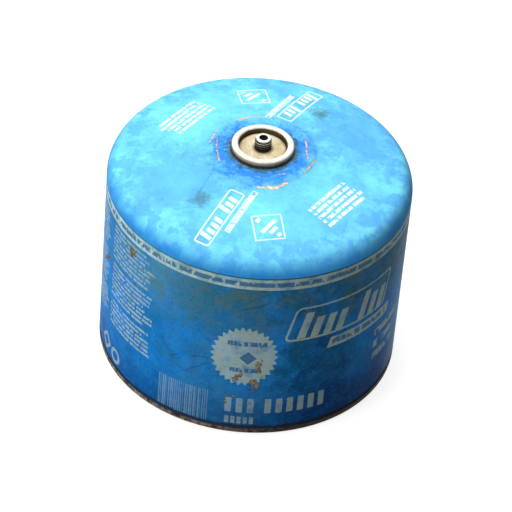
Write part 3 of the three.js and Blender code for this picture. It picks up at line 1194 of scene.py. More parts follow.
    def _pale_ink(self, w: Surface) -> Value:
        """The pale print's colour, yellowed in patches, and darker and greener round to the right, partly
        dirt and partly painted shade.

        Args:
            w: the material's wiring.

        Returns:
            The print's colour.
        """
        band = w.ramp(w.height, 66.6, 67.4)
        left = w.tint(band, self.pale, self.pale_band)
        right = w.tint(band, self.pale_right, self.band_right)
        # darker round to the right: partly painted shade, away from the light
        ink = w.tint(self._side(w, 0.0, -0.6, 0.9) * 0.8, left, right)
        return w.tint(w.spots(5.0, 0.45, 0.1, 18.0) * 0.34, ink, self.yellowed)

    def _dark_ink(self, w: Surface, shaky: Value, wall: Value) -> Value:
        """Mask of the blue print that lies on the pale band, seal and bar.

        Args:
            w: the material's wiring.
            shaky: the small offset that roughens edges.
            wall: mask of the wall, the rest being dome.

        Returns:
            The mask.
        """
        design = WallPrint()
        x, y = w.along, w.height
        masks = [rows.mask(w, x, y) for rows in design.dark_rows()]
        diamond = Bar(1.4, 35.6, 4.4, 4.4, turn=45, corner=0.3).distance(w, x, y)
        masks.append(w.ramp(diamond + shaky * 0.5, 0.1, -0.1))
        above = w.ramp(y, design.band_high + 0.05, design.band_high + 0.25)
        line = above * w.ramp(y, design.line_high + 0.2, design.line_high - 0.1)
        return w.most([w.most(masks) * wall, line * 0.8]) * 0.85

    def _dome_ink(self, w: Surface, shaky: Value) -> Value:
        """Mask of the white print on the dome, laid out twice, half a turn apart.

        Args:
            w: the material's wiring.
            shaky: the small offset that roughens edges.

        Returns:
            The mask.
        """
        design = DomePrint()
        from_x, from_y = w.x - design.middle_x, w.y - design.middle_y
        side = w.math("SIGN", from_y * -1.0)
        x, y = from_x * side, from_y * side
        distances = [bar.distance(w, x, y) for bar in design.outlines()]
        solid = w.ramp(w.least(distances) + shaky * 0.3, 0.09, -0.09)
        rows = [rows.mask(w, x, y) for rows in design.lines()]
        worn = w.spots(4.0, 0.22, 0.1, 9.0)
        return w.most([solid, *rows]) * (1.0 - worn * 0.5)

    def _grime_and_shade(self, w: Surface, wall: Value, ink: Value, colour: Value) -> Value:
        """Lay dirt over the print: under the band, above the foot and round the valve, with painted shade on
        the right and a painted shadow round the foot of the valve's ring.

        Args:
            w: the material's wiring.
            wall: mask of the wall, the rest being dome.
            ink: mask of the wall's pale print.
            colour: the colour so far.

        Returns:
            The colour with the dirt on it.
        """
        middle = w.ramp(w.math("ABSOLUTE", w.along + 6.0), 30.0, 6.0)
        upper = w.ramp(w.height, 38.0, 60.0) * self._side(w, -18.0, -1.0, 0.1)
        reach = w.most([upper, middle * 0.32])
        clean = 1.0 - ink * 0.8
        share = reach * wall * clean * (0.3 + w.spots(11.0, 0.6, 0.1, 5.0) * 0.5)
        # the teal dirt turns darker round to the right: partly painted shade, away from the light
        left = w.tint(self._side(w, 0.0, -0.75, -0.2), self.light_teal, self.teal)
        teal = w.tint(self._side(w, 0.0, -0.3, 0.5), left, self.dark_teal)
        grit = w.cloud(w.point, 1.1, 5, 0.8)
        rough = w.wander(2.4, 7, 0.75, 5.0)
        foot = w.ramp(w.height + rough, self.seam_height + 2.0, self.seam_height + 0.4)
        close = w.ramp(w.radius + rough * 1.5, self.ring_radius + 2.5, self.ring_radius + 1.7)
        # under: a painted shadow in a thin ring round the foot of the valve's ring
        under = w.ramp(w.radius, self.ring_radius + 0.7, self.ring_radius + 0.1)
        stained = w.tint(w.ramp(rough, -0.6, 0.5), self.ring_teal, self.ring_green)
        dome = w.flip(wall)
        return w.coats(
            colour,
            (share, teal),
            (w.spots(6.0, 0.46, 0.1, 23.0) * share * 0.5, self.olive),
            (w.spots(2.2, 0.18, 0.05, 6.0) * wall * 0.3, self.deepest),
            (w.ramp(grit, 0.5, 0.3) * wall * 0.34, self.deepest),
            (w.ramp(grit, 0.5, 0.72) * wall * 0.3, self.light_grit),
            (foot * wall * 0.8, self.soot),
            (close * dome * (0.2 + w.spots(2.0, 0.62, 0.05, 15.0) * 0.65), stained),
            (under * dome * 0.7, self.painted_ring_shadow),
            (self._smudges(w) * dome * 0.7, self.smudge),
        )

    def _smudges(self, w: Surface) -> Value:
        """Mask of two grey smudges on the dome, half a turn apart.

        Args:
            w: the material's wiring.

        Returns:
            The mask.
        """
        side = w.math("SIGN", w.y * -1.0)
        x, y = self.smudge_place
        ragged = w.length(w.x * side - x, w.y * side - y) + w.wander(2.4, 7, 0.8, 13.0)
        return w.ramp(ragged, 5.6, 0.6)

    def _scratches(self, w: Surface, shaky: Value, wall: Value) -> Value:
        """Mask of the thin dark scratches.

        Args:
            w: the material's wiring.
            shaky: the small offset that roughens edges.
            wall: mask of the wall, the rest being dome.

        Returns:
            The mask.
        """
        bend = w.wander(3.0, 3, 0.55, 2.2)
        masks = []
        for lines, x, y, share in (
            (self.wall_scratches, w.along, w.height, wall * 0.85),
            (self.dome_scratches, w.x, w.y, w.flip(wall) * 0.4),
        ):
            moved = y + bend
            bars = [scratch(*line).distance(w, x, moved) for line in lines]
            masks.append(w.ramp(w.least(bars) + shaky * 0.8, 0.14, -0.06) * share)
        return w.most(masks)

    def _chips(self, w: Surface, wall: Value) -> Value:
        """Mask of the chips down to rust, on the wall and along the bead.

        Args:
            w: the material's wiring.
            wall: mask of the wall, the rest being dome.

        Returns:
            The mask.
        """
        ragged = w.wander(1.5, 5, 0.7, 4.5)
        bars = [
            Bar(x, y, wide, tall, turn=turn, corner=min(wide, tall) / 2)
            for x, y, wide, tall, turn in self.wall_chips
        ]
        found = [bar.distance(w, w.along, w.height) for bar in bars]
        on_wall = w.ramp(w.least(found) + ragged, 0.22, -0.14) * wall
        return w.most([on_wall, self._bead_chips(w, wall)])

    def _bead_chips(self, w: Surface, wall: Value) -> Value:
        """Mask of the rust where the protective cap used to rub along the bead.

        Args:
            w: the material's wiring.
            wall: mask of the wall, the rest being dome.

        Returns:
            The mask.
        """
        ragged = w.wander(1.0, 7, 0.8, 3.2)
        rubs = [
            scratch(start, end, width).distance(w, w.x, w.y)
            for start, end, width in self.bead_rubs
        ]
        return w.ramp(w.least(rubs) + ragged, 0.16, -0.1) * w.flip(wall)

    def _bare(self, w: Surface) -> Value:
        """Mask of what was never painted: the hollow base, and the well under the valve.

        Args:
            w: the material's wiring.

        Returns:
            The mask.
        """
        inner = self.wall_radius - 1.1
        base = w.ramp(w.radius, inner, inner - 0.3) * w.ramp(w.height, 16.0, 14.0)
        return w.most([base, w.ramp(w.radius, self.ring_radius - 0.5, self.ring_radius - 0.7)])

    def _bare_metal(self, w: Surface) -> Value:
        """Dull tinplate with brown spots and rings of dirt.

        Args:
            w: the material's wiring.

        Returns:
            The metal's colour.
        """
        spots, fine = w.spots(8.0, 0.42, 0.07, 21.0), w.spots(1.6, 0.3, 0.06, 22.0)
        return w.coats(self.tin, (spots * 0.7, self.tin_spot), (fine * 0.6, self.tin_dirt))

    def _seam_metal(self, w: Surface) -> Value:
        """The bare, browned metal of the seam, darker round to the right as painted shade.

        Args:
            w: the material's wiring.

        Returns:
            The metal's colour.
        """
        spots = w.cloud(w.point, 2.4, 6, 0.7)
        # painted shade: the seam darkens round to the right, away from the light
        bare = w.tint(self._side(w, 0.0, -0.8, 0.6), self.seam_left, self.seam_right_shade)
        return w.tint(w.ramp(spots, 0.4, 0.62), bare, self.seam_spot)


@dataclass(frozen=True)
class DirtyTinWithShade(Finish):
    """Cream-coloured tinplate of the mounting cup, with brown dirt low down on its skirt, browner in the
    floor's corners, and dirt and painted shade on the recess's inner wall.
    """

    effects: Effects
    top: float
    floor: float
    recess: float
    title = "dirty tinplate"
    shine = 0.15
    cream: Colour = shade("f6f4ee")
    cream_shade: Colour = shade("e9e3d4")
    upper: Colour = shade("b9a987")
    brown: Colour = shade("4c3a22")
    recess_dirt_and_shade: Colour = shade("4d4430")
    floor_cream: Colour = shade("e6dcbc")
    stain: Colour = shade("c3ae80")
    speck: Colour = shade("7d6238")
    floor_corner_brown: Colour = shade("8a6a3c")
    rust_line: Colour = shade("8a5a34")

    def build(self) -> bpy.types.Material:
        """Make the material.

        Returns:
            The finished tinplate.
        """
        w, shader = self.start()
        point, height, radius = w.point, w.height, w.radius
        wander = w.wander(1.6, 5, 0.65, 1.2)
        cream = w.tint(w.ramp(w.cloud(point, 2.2, 4), 0.4, 0.62), self.cream, self.cream_shade)
        outside = w.ramp(radius, self.recess + 1.6, self.recess + 1.9)
        upper = w.ramp(height, self.top - 0.25, self.top - 0.7)
        low = w.ramp(height + wander * 0.8, self.top - 0.9, self.top - 2.0)
        skirt = w.tint(low, w.tint(upper, cream, self.upper), self.brown)
        # walls: the recess's inner wall darkens downwards, partly dirt and partly painted shade
        walls = w.ramp(height + wander * 0.4, self.top - 0.1, self.top - 0.7)
        inner = w.tint(walls, cream, self.recess_dirt_and_shade)
        rim = w.tint(outside, inner, skirt)
        ragged = radius + wander * 0.8
        corner = w.most([w.ramp(ragged, self.recess - 1.5, self.recess - 0.4), w.ramp(ragged, 4.2, 3.1)])
        floor = w.coats(
            self.floor_cream,
            (w.spots(4.5, 0.5, 0.12, 3.0) * 0.7, self.stain),
            (w.spots(0.9, 0.2, 0.06, 8.0) * 0.5, self.speck),
            (corner * 0.7, self.floor_corner_brown),
            (w.ramp(radius, self.recess - 0.5, self.recess - 0.2) * 0.8, self.rust_line),
        )
        in_recess = w.ramp(radius, self.recess + 0.02, self.recess - 0.12)
        on_floor = in_recess * w.ramp(height, self.floor + 0.5, self.floor + 0.1)
        w.feed(shader.inputs["Base Color"], w.tint(on_floor, rim, floor))
        grain = w.grain(0.7, 0.55, 0.2)
        w.feed(shader.inputs["Roughness"], grain["Roughness"])
        self.emboss(w, shader, grain["Height"], 0.03)
        return self.material_of(w)


@dataclass(frozen=True)
class TurnedPost(Finish):
    """Turned steel of the post: pale on its crests and the top of its collar, with painted shade on the
    collar's side, lower down the thread, in the thread's grooves and in the bore.
    """

    effects: Effects
    crest: float
    thread_low: float
    thread_high: float
    bore: float
    top: float
    edge: float
    title = "turned steel"
    shine = 0.12
    steel: Colour = shade("f2f0ea")
    steel_shade: Colour = shade("cfccbf")
    collar_side_shade: Colour = shade("9c9a84")
    painted_low_shade: Colour = shade("241f14")
    painted_groove_shade: Colour = shade("12100b")
    painted_bore_shade: Colour = shade("060403")

    def build(self) -> bpy.types.Material:
        """Make the material.

        Returns:
            The finished steel.
        """
        w, shader = self.start()
        point, height, radius = w.point, w.height, w.radius
        pale = w.tint(w.ramp(w.cloud(point, 0.8, 4), 0.4, 0.62), self.steel, self.steel_shade)
        # side: painted shade on the collar's side, below its lit top
        side = w.ramp(height, self.top - self.edge, self.top - self.edge - 0.3)
        # down: painted shade, darker lower down the thread
        down = w.ramp(height, self.thread_high, self.thread_low + 0.7)
        # deep and groove: painted shade in the thread's grooves
        deep = w.ramp(radius, self.crest - 0.02, self.crest - 0.24)
        groove = deep * w.ramp(height, self.thread_high + 0.05, self.thread_high - 0.1)
        # inside: painted shade in the bore and on its mouth's chamfer
        inside = w.ramp(radius, self.bore + 0.34, self.bore + 0.22)
        body = w.coats(
            pale,
            (side * 0.8, self.collar_side_shade),
            (down * 0.93, self.painted_low_shade),
            (groove * 0.96, self.painted_groove_shade),
            (inside, self.painted_bore_shade),
        )
        w.feed(shader.inputs["Base Color"], body)
        grain = w.grain(0.35, 0.42, 0.16)
        dull = w.most([groove, down, inside])
        w.feed(shader.inputs["Roughness"], w.level(dull, grain["Roughness"], 0.8))
        w.feed(shader.inputs["Metallic"], w.flip(dull) * 0.4)
        self.emboss(w, shader, grain["Height"], 0.012)
        return self.material_of(w)


@dataclass(frozen=True)
class PlainFinish(Finish):
    """A moulded or drawn material of one main colour with a fine grain and slight dirt."""

    effects: Effects
    name: str
    colour: Colour
    dirt: Colour
    roughness: float
    metallic: float = 0.0
    grain_size: float = 0.5
    shine: float = 0.5

    def build(self) -> bpy.types.Material:
        """Make the material.

        Returns:
            The finished material.
        """
        w, shader = self.start()
        stain = w.spots(self.grain_size * 3, 0.4, 0.15)
        w.feed(shader.inputs["Base Color"], w.tint(stain * 0.6, self.colour, self.dirt))
        grain = w.grain(self.grain_size, self.roughness, 0.15)
        w.feed(shader.inputs["Roughness"], grain["Roughness"])
        shader.inputs["Metallic"].default_value = self.metallic
        self.emboss(w, shader, grain["Height"], 0.01)
        made = self.material_of(w)
        made.name = self.name
        return made


def arc(r: float, z: float, radius: float, start: float, end: float, steps: int) -> list[Point]:
    """Points of an arc in the section plane, both ends included.

    Args:
        r: the centre's radius from the axis.
        z: the centre's height.
        radius: the arc's own radius.
        start: its first angle in degrees, from straight out towards up.
        end: its last angle.
        steps: how many chords it has.

    Returns:
        Radius and height of each point.
    """
    angles = [math.radians(start + (end - start) * i / steps) for i in range(steps + 1)]
    return [(r + radius * math.cos(a), z + radius * math.sin(a)) for a in angles]


def spaced(start: float, end: float, count: int) -> list[float]:
    """Evenly spaced numbers from one end to the other, both included."""
    return [start + (end - start) * i / (count - 1) for i in range(count)]


def smooth_object(name: str, vertices: list, faces: list, sharp: float) -> bpy.types.Object:
    """Make an object of a mesh that is smooth apart from its sharp corners.

    Args:
        name: the object's name.
        vertices: the mesh's points in metres.
        faces: the points of each face.
        sharp: the angle in degrees above which a corner stays sharp.

    Returns:
        The new object, in the scene.
    """
    mesh = bpy.data.meshes.new(name)
    mesh.from_pydata(vertices, [], faces)
    mesh.polygons.foreach_set("use_smooth", [True] * len(mesh.polygons))
    mesh.set_sharp_from_angle(angle=math.radians(sharp))
    mesh.update()
    made = bpy.data.objects.new(name, mesh)
    bpy.context.scene.collection.objects.link(made)
    return made


def revolve(
    name: str,
    outline: Sequence[Point],
    sides: int,
    loop: bool = False,
    swell: Callable[[float, float, float], float] | None = None,
) -> bpy.types.Object:
    """Turn an outline round the vertical axis into a closed mesh.

    Args:
        name: the object's name.
        outline: radius and height of each point in millimetres; the surface faces right of the
            way along it.
        sides: how many flats the circle has.
        loop: the outline closes on itself, so the ends aren't on the axis.
        swell: gives a radius for an angle, radius and height, for a thread.

    Returns:
        The new object, smooth apart from its sharp corners.
    """
    vertices: list[tuple[float, float, float]] = []
    rings: list[list[int]] = []
    for r, z in outline:
        if r < 1e-6:
            rings.append([len(vertices)] * sides)
            vertices.append((0.0, 0.0, z * MM))
            continue
        rings.append(list(range(len(vertices), len(vertices) + sides)))
        for side in range(sides):
            angle = 2 * math.pi * side / sides
            reach = swell(angle, r, z) if swell else r
            vertices.append((reach * MM * math.cos(angle), reach * MM * math.sin(angle), z * MM))
    faces = []
    pairs = list(zip(rings, rings[1:])) + ([(rings[-1], rings[0])] if loop else [])
    for low, high in pairs:
        for side in range(sides):
            after = (side + 1) % sides
            corners = (low[side], low[after], high[after], high[side])
            faces.append(tuple(dict.fromkeys(corners)))
    return smooth_object(name, vertices, faces, SHARP_CORNER)


def sheet_outline(line: Sequence[Point], thickness: float) -> list[Point]:
    """Give a sheet's closed outline from its middle line.

    Args:
        line: radius and height of each point of the middle line.
        thickness: the sheet's thickness.

    Returns:
        The outline, all the way round.
    """
    sides: dict[int, list[Point]] = {1: [], -1: []}
    for i, (r, z) in enumerate(line):
        before_r, before_z = line[max(0, i - 1)]
        after_r, after_z = line[min(len(line) - 1, i + 1)]
        arriving = math.atan2(z - before_z, r - before_r)
        leaving = math.atan2(after_z - z, after_r - r)
        arriving = leaving if i == 0 else arriving
        leaving = arriving if i == len(line) - 1 else leaving
        turn = math.remainder(leaving - arriving, 2 * math.pi)
        across = arriving + turn / 2 + math.pi / 2
        for sign, points in sides.items():
            reach = sign * thickness / 2 / math.cos(turn / 2)
            points.append((r + reach * math.cos(across), z + reach * math.sin(across)))
    return [*sides[-1], *reversed(sides[1])]


def place(piece: bpy.types.Object, node: str, slot: str, body: Body, finish: bpy.types.Material) -> None:
    """Hand a finished piece over to the frame in place of its plain node.

    Args:
        piece: the piece's object.
        node: the plain node that it replaces.
        slot: the name of its material slot; not used.
        body: the body that it rides on.
        finish: its material.
    """
    piece.data.materials.clear()
    piece.data.materials.append(finish)
    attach(piece, body.value)
    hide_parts(node)
    LOG.info("%s stands for %s", piece.name, node)


@dataclass
class Dome:
    """A shallow dome tangent to a corner arc, as a pressed can end has."""

    radius: float
    corner_height: float
    corner: float
    rise: float

    @property
    def drop(self) -> float:
        """How far the sphere's centre lies below the corner arc's centre."""
        reach = self.radius - self.corner
        return (reach**2 - self.rise**2) / (2 * self.rise)

    @property
    def sphere(self) -> float:
        """The sphere's radius."""
        return self.drop + self.corner + self.rise

    @property
    def lean(self) -> float:
        """Angle at which the arc meets the sphere, from the vertical, in degrees."""
        return math.degrees(math.atan2(self.radius - self.corner, self.drop))

    @property
    def tangent(self) -> float:
        """Radius at which the arc meets the sphere."""
        return self.sphere * math.sin(math.radians(self.lean))

    def height(self, r: float) -> float:
        """Height of the sphere at a radius."""
        return self.corner_height - self.drop + math.sqrt(self.sphere**2 - r**2)

    def arc(self, steps: int) -> list[Point]:
        """The corner arc, from the upright wall to the sphere."""
        return arc(self.radius - self.corner, self.corner_height, self.corner, 0, 90 - self.lean, steps)

    def points(self, start: float, end: float, count: int) -> list[Point]:
        """Points of the sphere from one radius to another."""
        return [(r, self.height(r)) for r in spaced(start, end, count)]


@dataclass
class Vessel:
    """The drawn steel vessel: foot, wall, shoulder, dome and lip."""

    radius: float
    wall_top: float = 72.3
    shoulder: float = 7.0
    rise: float = 6.7
    seam_height: float = 2.3
    seam_thickness: float = 1.5
    groove: float = 0.4
    groove_height: float = 0.9
    foot_round: float = 0.4
    base_wall: float = 3.6
    base_corner: float = 1.6
    base_rise: float = 7.0
    bead_radius: float = 17.6
    bead_half: float = 1.6
    bead_height: float = 0.6
    lip_outer: float = 10.37
    lip_inner: float = 9.22
    lip_drop: float = 0.85
    lip_height: float = 1.0
    lip_round: float = 0.3
    well_radius: float = 3.18
    undercut: float = 9.64
    shelf_drop: float = 3.5
    well_drop: float = 8.0
    seat_drop: float = 5.5
    sides: int = 256

    def spring_seat(self, ring_top: float) -> float:
        """Height of the housing's floor, on which the stem's spring stands."""
        return ring_top - self.seat_drop

    @property
    def dome(self) -> Dome:
        """The vessel's top."""
        return Dome(self.radius, self.wall_top, self.shoulder, self.rise)

    @property
    def base(self) -> Dome:
        """The vessel's hollow base."""
        return Dome(self.radius - self.seam_thickness, self.base_wall, self.base_corner, self.base_rise)

    def outline(self, ring_top: float) -> list[Point]:
        """The section, from the middle of the base outside and round to the well.

        Args:
            ring_top: height of the cup that is curled over the lip.

        Returns:
            Radius and height of each point.
        """
        base, dome = self.base, self.dome
        lip_top = ring_top - self.lip_drop
        shelf, well_floor = ring_top - self.shelf_drop, ring_top - self.well_drop
        inner = self.radius - self.seam_thickness
        soft = self.foot_round
        points = [*base.points(0, base.tangent, 8), *reversed(base.arc(6))]
        points += arc(inner + soft, soft, soft, 180, 270, 5)
        points += arc(self.radius - soft, soft, soft, -90, 0, 5)
        points += self._seam_groove()
        points += [(self.radius, z) for z in spaced(self.seam_height + 2.4, self.wall_top - 0.5, 4)]
        points += dome.arc(20)
        points += dome.points(dome.tangent, self.bead_radius + self.bead_half + 0.5, 12)[1:]
        points += self._bead(dome)
        points += dome.points(self.bead_radius - self.bead_half - 0.5, self.lip_outer, 5)
        low = lip_top - self.lip_round
        points += arc(self.lip_outer - self.lip_round, low, self.lip_round, 0, 90, 4)
        points += arc(self.lip_inner + self.lip_round, low, self.lip_round, 90, 180, 4)
        under = lip_top - self.lip_height
        points += [(self.lip_inner, under), (self.undercut, under - (self.undercut - self.lip_inner) / 2)]
        points += [(self.undercut, shelf), (self.well_radius, shelf)]
        points += [(self.well_radius, well_floor), (0.0, well_floor)]
        return points

    def _seam_groove(self) -> list[Point]:
        """The soft groove between the seam's rim and the wall.

        Returns:
            Radius and height of each point, upwards.
        """
        low, high = self.seam_height, self.seam_height + self.groove_height + self.groove
        middle, half = (low + high) / 2, (high - low) / 2
        shares = spaced(-1, 1, 9)
        return [(self.radius - self.groove * (1 - s**4), middle + s * half) for s in shares]

    def _bead(self, dome: Dome) -> list[Point]:
        """The raised bead on the dome.

        Args:
            dome: the dome that it rises from.

        Returns:
            Radius and height of each point, inwards.
        """
        points = []
        for share in spaced(1.2, -1.2, 15):
            r = self.bead_radius + share * self.bead_half
            lift = self.bead_height * max(0.0, 1 - share**2) ** 1.2
            points.append((r, dome.height(r) + lift))
        return points

    def build(self, ring_top: float, finish: bpy.types.Material) -> None:
        """Make the vessel.

        Args:
            ring_top: height of the cup's ring.
            finish: its paint.
        """
        made = revolve("painted_vessel", self.outline(ring_top), self.sides)
        place(made, "can_body", "blue_paint", Body.CANISTER, finish)


@dataclass
class MountingCup:
    """The stamped cup that is curled over the vessel's lip."""

    ring_top: float
    ring_radius: float
    recess_radius: float = 8.6
    recess_depth: float = 2.1
    sheet: float = 0.5
    corner: float = 0.6
    skirt: float = 2.6
    clinch: float = 0.42
    clinch_height: float = 0.45
    groove_depth: float = 0.5
    post_hole: float = 2.65
    sides: int = 192

    @property
    def floor_top(self) -> float:
        """Height of the recess's floor."""
        return self.ring_top - self.recess_depth

    def middle_line(self) -> list[Point]:
        """The middle line of the sheet, from the skirt's edge to the hole for the post.

        Returns:
            Radius and height of each point.
        """
        half = self.sheet / 2
        outer, inner = self.ring_radius - half, self.recess_radius + half
        top, floor = self.ring_top - half, self.floor_top - half
        spread, groove = inner + self.clinch, floor - self.groove_depth
        clinch_top = groove + self.clinch_height + self.clinch
        line = [(outer, self.ring_top - self.skirt)]
        line += arc(outer - self.corner, top - self.corner, self.corner, 0, 90, 8)
        line += arc(inner + self.corner, top - self.corner, self.corner, 90, 180, 8)
        line += [(inner, clinch_top), (spread, clinch_top - self.clinch)]
        line += [(spread, groove + self.clinch_height / 2), (spread - self.clinch_height / 2, groove)]
        line += [(inner - self.clinch_height, groove)]
        line += [(inner - self.clinch_height - self.groove_depth, floor), (self.post_hole, floor)]
        return line

    def build(self, finish: bpy.types.Material) -> None:
        """Make the cup."""
        made = revolve("tinplate_cup", sheet_outline(self.middle_line(), self.sheet), self.sides, loop=True)
        place(made, "valve_cup", "tinplate", Body.CANISTER, finish)


@dataclass
class ThreadedPost:
    """The turned post with its outside thread, bore and staked end."""

    top: float
    floor_top: float
    sheet: float = 0.5
    root: float = 2.53
    crest: float = 3.0
    bore: float = 1.3
    chamber: float = 1.95
    pitch: float = 0.9
    thread_length: float = 3.4
    plain_top: float = 0.65
    plain_step: float = 0.07
    base_collar: float = 0.4
    chamfer: float = 0.2
    mouth: float = 0.8
    mouth_chamfer: float = 0.3
    staked_lip: float = 0.5
    staked_height: float = 0.6
    sides: int = 96

    @property
    def thread_high(self) -> float:
        """Height at which the thread ends, under the plain collar."""
        return self.top - self.plain_top

    @property
    def thread_low(self) -> float:
        """Height at which the thread starts, above the base's collar."""
        return self.thread_high - self.thread_length

    def ridge(self, angle: float, r: float, z: float) -> float:
        """Radius of the threaded surface.

        Args:
            angle: round the axis.
            r: the radius that the outline gives.
            z: the height.

        Returns:
            The radius with the thread's ridge on it.
        """
        if abs(r - self.root) > 1e-6 or not self.thread_low < z < self.thread_high:
            return r
        phase = (z - self.thread_low) / self.pitch - angle / (2 * math.pi)
        across = abs(phase - math.floor(phase) - 0.5) * 2
        ends = min(z - self.thread_low, self.thread_high - z) / (self.pitch * 0.4)
        return r + (self.crest - self.root) * min(1.0, ends) * max(0.0, min(1.0, 1.3 * (1 - across) - 0.16))

    def outline(self) -> list[Point]:
        """The closed section, up the outside and down through the bore.

        Returns:
            Radius and height of each point.
        """
        under = self.floor_top - self.sheet
        staked = under - self.staked_height
        collar = self.floor_top + self.base_collar
        plain = self.root + self.plain_step
        points = [(self.chamber, staked), (self.root + self.staked_lip, staked)]
        points += [(self.root + self.staked_lip, under), (self.root, under), (self.root, self.floor_top)]
        points += [(self.crest, self.floor_top), (self.crest, collar - self.chamfer)]
        points += [(self.root, z) for z in spaced(collar + self.chamfer, self.thread_high, 90)]
        points += [(plain, self.thread_high + self.plain_step)]
        points += arc(plain - self.chamfer, self.top - self.chamfer, self.chamfer, 0, 90, 5)
        points += [(self.bore + self.mouth_chamfer, self.top), (self.bore, self.top - self.mouth_chamfer)]
        points += [(self.bore, self.top - self.mouth), (self.chamber, self.top - self.mouth)]
        return points

    def build(self, finish: bpy.types.Material) -> None:
        """Make the post."""
        made = revolve("turned_post", self.outline(), self.sides, loop=True, swell=self.ridge)
        place(made, "threaded_post", "turned_steel", Body.CANISTER, finish)


@dataclass
class StemSpring:
    """The wire spring under the stem's head; the real one shortens as the stem goes down, but this coil is
    built at one length.
    """

    low: float
    high: float
    reach: float
    seat: float
    travel: float
    wire: float = 0.17
    turns: int = 6
    steps: int = 28
    flats: int = 10
    sharp: float = 50.0

    def height(self, turn: float) -> float:
        """Height of the wire's middle after so many turns; the first and last turn lie closed.

        Args:
            turn: how many turns up the wire, from 0.

        Returns:
            The height in millimetres.
        """
        bottom, top, closed = self.low + self.wire, self.high - self.wire, 2 * self.wire
        if turn < 1:
            return bottom + closed * turn
        if turn > self.turns - 1:
            return top - closed * (self.turns - turn)
        return bottom + closed + (top - bottom - 2 * closed) * (turn - 1) / (self.turns - 2)

    def build(self, finish: bpy.types.Material) -> None:
        """Make the spring.

        Args:
            finish: the wire's material.
        """
        vertices = []
        for step in range(self.turns * self.steps + 1):
            angle = 2 * math.pi * step / self.steps
            for side in range(self.flats):
                around = 2 * math.pi * side / self.flats
                r = self.reach - self.wire + self.wire * math.cos(around)
                z = self.height(step / self.steps) + self.wire * math.sin(around)
                vertices.append((r * MM * math.cos(angle), r * MM * math.sin(angle), z * MM))
        last = len(vertices) - 1
        faces = [tuple(range(self.flats)), tuple(range(last, last - self.flats, -1))]
        for start in range(0, len(vertices) - self.flats, self.flats):
            for side in range(self.flats):
                after = (side + 1) % self.flats
                ring = (start + side, start + self.flats + side, start + self.flats + after, start + after)
                faces.append(ring)
        made = smooth_object("coiled_spring", vertices, faces, self.sharp)
        place(made, "stem_spring", "spring_steel", Body.CANISTER, finish)
        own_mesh(made)


@dataclass
class ValveInsides:
    """The small pieces inside the valve, whose own solids are fine enough to show."""

    finishes: dict[str, bpy.types.Material]

    def build(self) -> None:
        """Dress each of them."""
        for node, finish in self.finishes.items():
            mesh = frame["nodes"][node].data
            mesh.materials.clear()
            mesh.materials.append(finish)
            LOG.info("%s is dressed", node)


@dataclass
class Viewpoint:
    """The photograph's camera, found from the canister's own outline. Lengths in millimetres."""

    aim: tuple[float, float, float] = (1.018, 0.0, 36.533)
    distance: float = 1119.723
    elevation: float = 40.342
    roll: float = -5.104
    focal_pixels: float = 3112.17
    frame_pixels: float = 512.0
    sensor: float = 36.0
    clip: tuple[float, float] = (0.05, 20.0)

    def build(self) -> None:
        """Make the camera and look through it."""
        rise, roll = math.radians(self.elevation), math.radians(self.roll)
        back = Vector((0, -math.cos(rise), math.sin(rise)))
        right = Vector((1, 0, 0))
        up = back.cross(right)
        turned_right = right * math.cos(roll) - up * math.sin(roll)
        turned_up = right * math.sin(roll) + up * math.cos(roll)
        data = bpy.data.cameras.new("camera")
        data.sensor_width = self.sensor
        data.lens = self.sensor * self.focal_pixels / self.frame_pixels
        data.clip_start, data.clip_end = self.clip
        camera = bpy.data.objects.new("camera", data)
        bpy.context.scene.collection.objects.link(camera)
        axes = Matrix((turned_right, turned_up, back)).transposed().to_4x4()
        place_at = (Vector(self.aim) + back * self.distance) * MM
        camera.matrix_world = Matrix.Translation(place_at) @ axes
        bpy.context.scene.camera = camera
        LOG.info("camera set")


@dataclass
class Lamp:
    """A soft square lamp: where it stands, its side in metres and its power."""

    name: str
    place: tuple[float, float, float]
    side: float
    power: float

    def build(self, target: Vector) -> None:
        """Make the lamp, facing its target.

        Args:
            target: the point that it faces, in metres.
        """
        data = bpy.data.lights.new(self.name, "AREA")
        data.shape = "SQUARE"
        data.size = self.side
        data.energy = self.power
        made = bpy.data.objects.new(self.name, data)
        bpy.context.scene.collection.objects.link(made)
        made.location = self.place
        made.rotation_euler = (target - made.location).to_track_quat("-Z", "Y").to_euler()


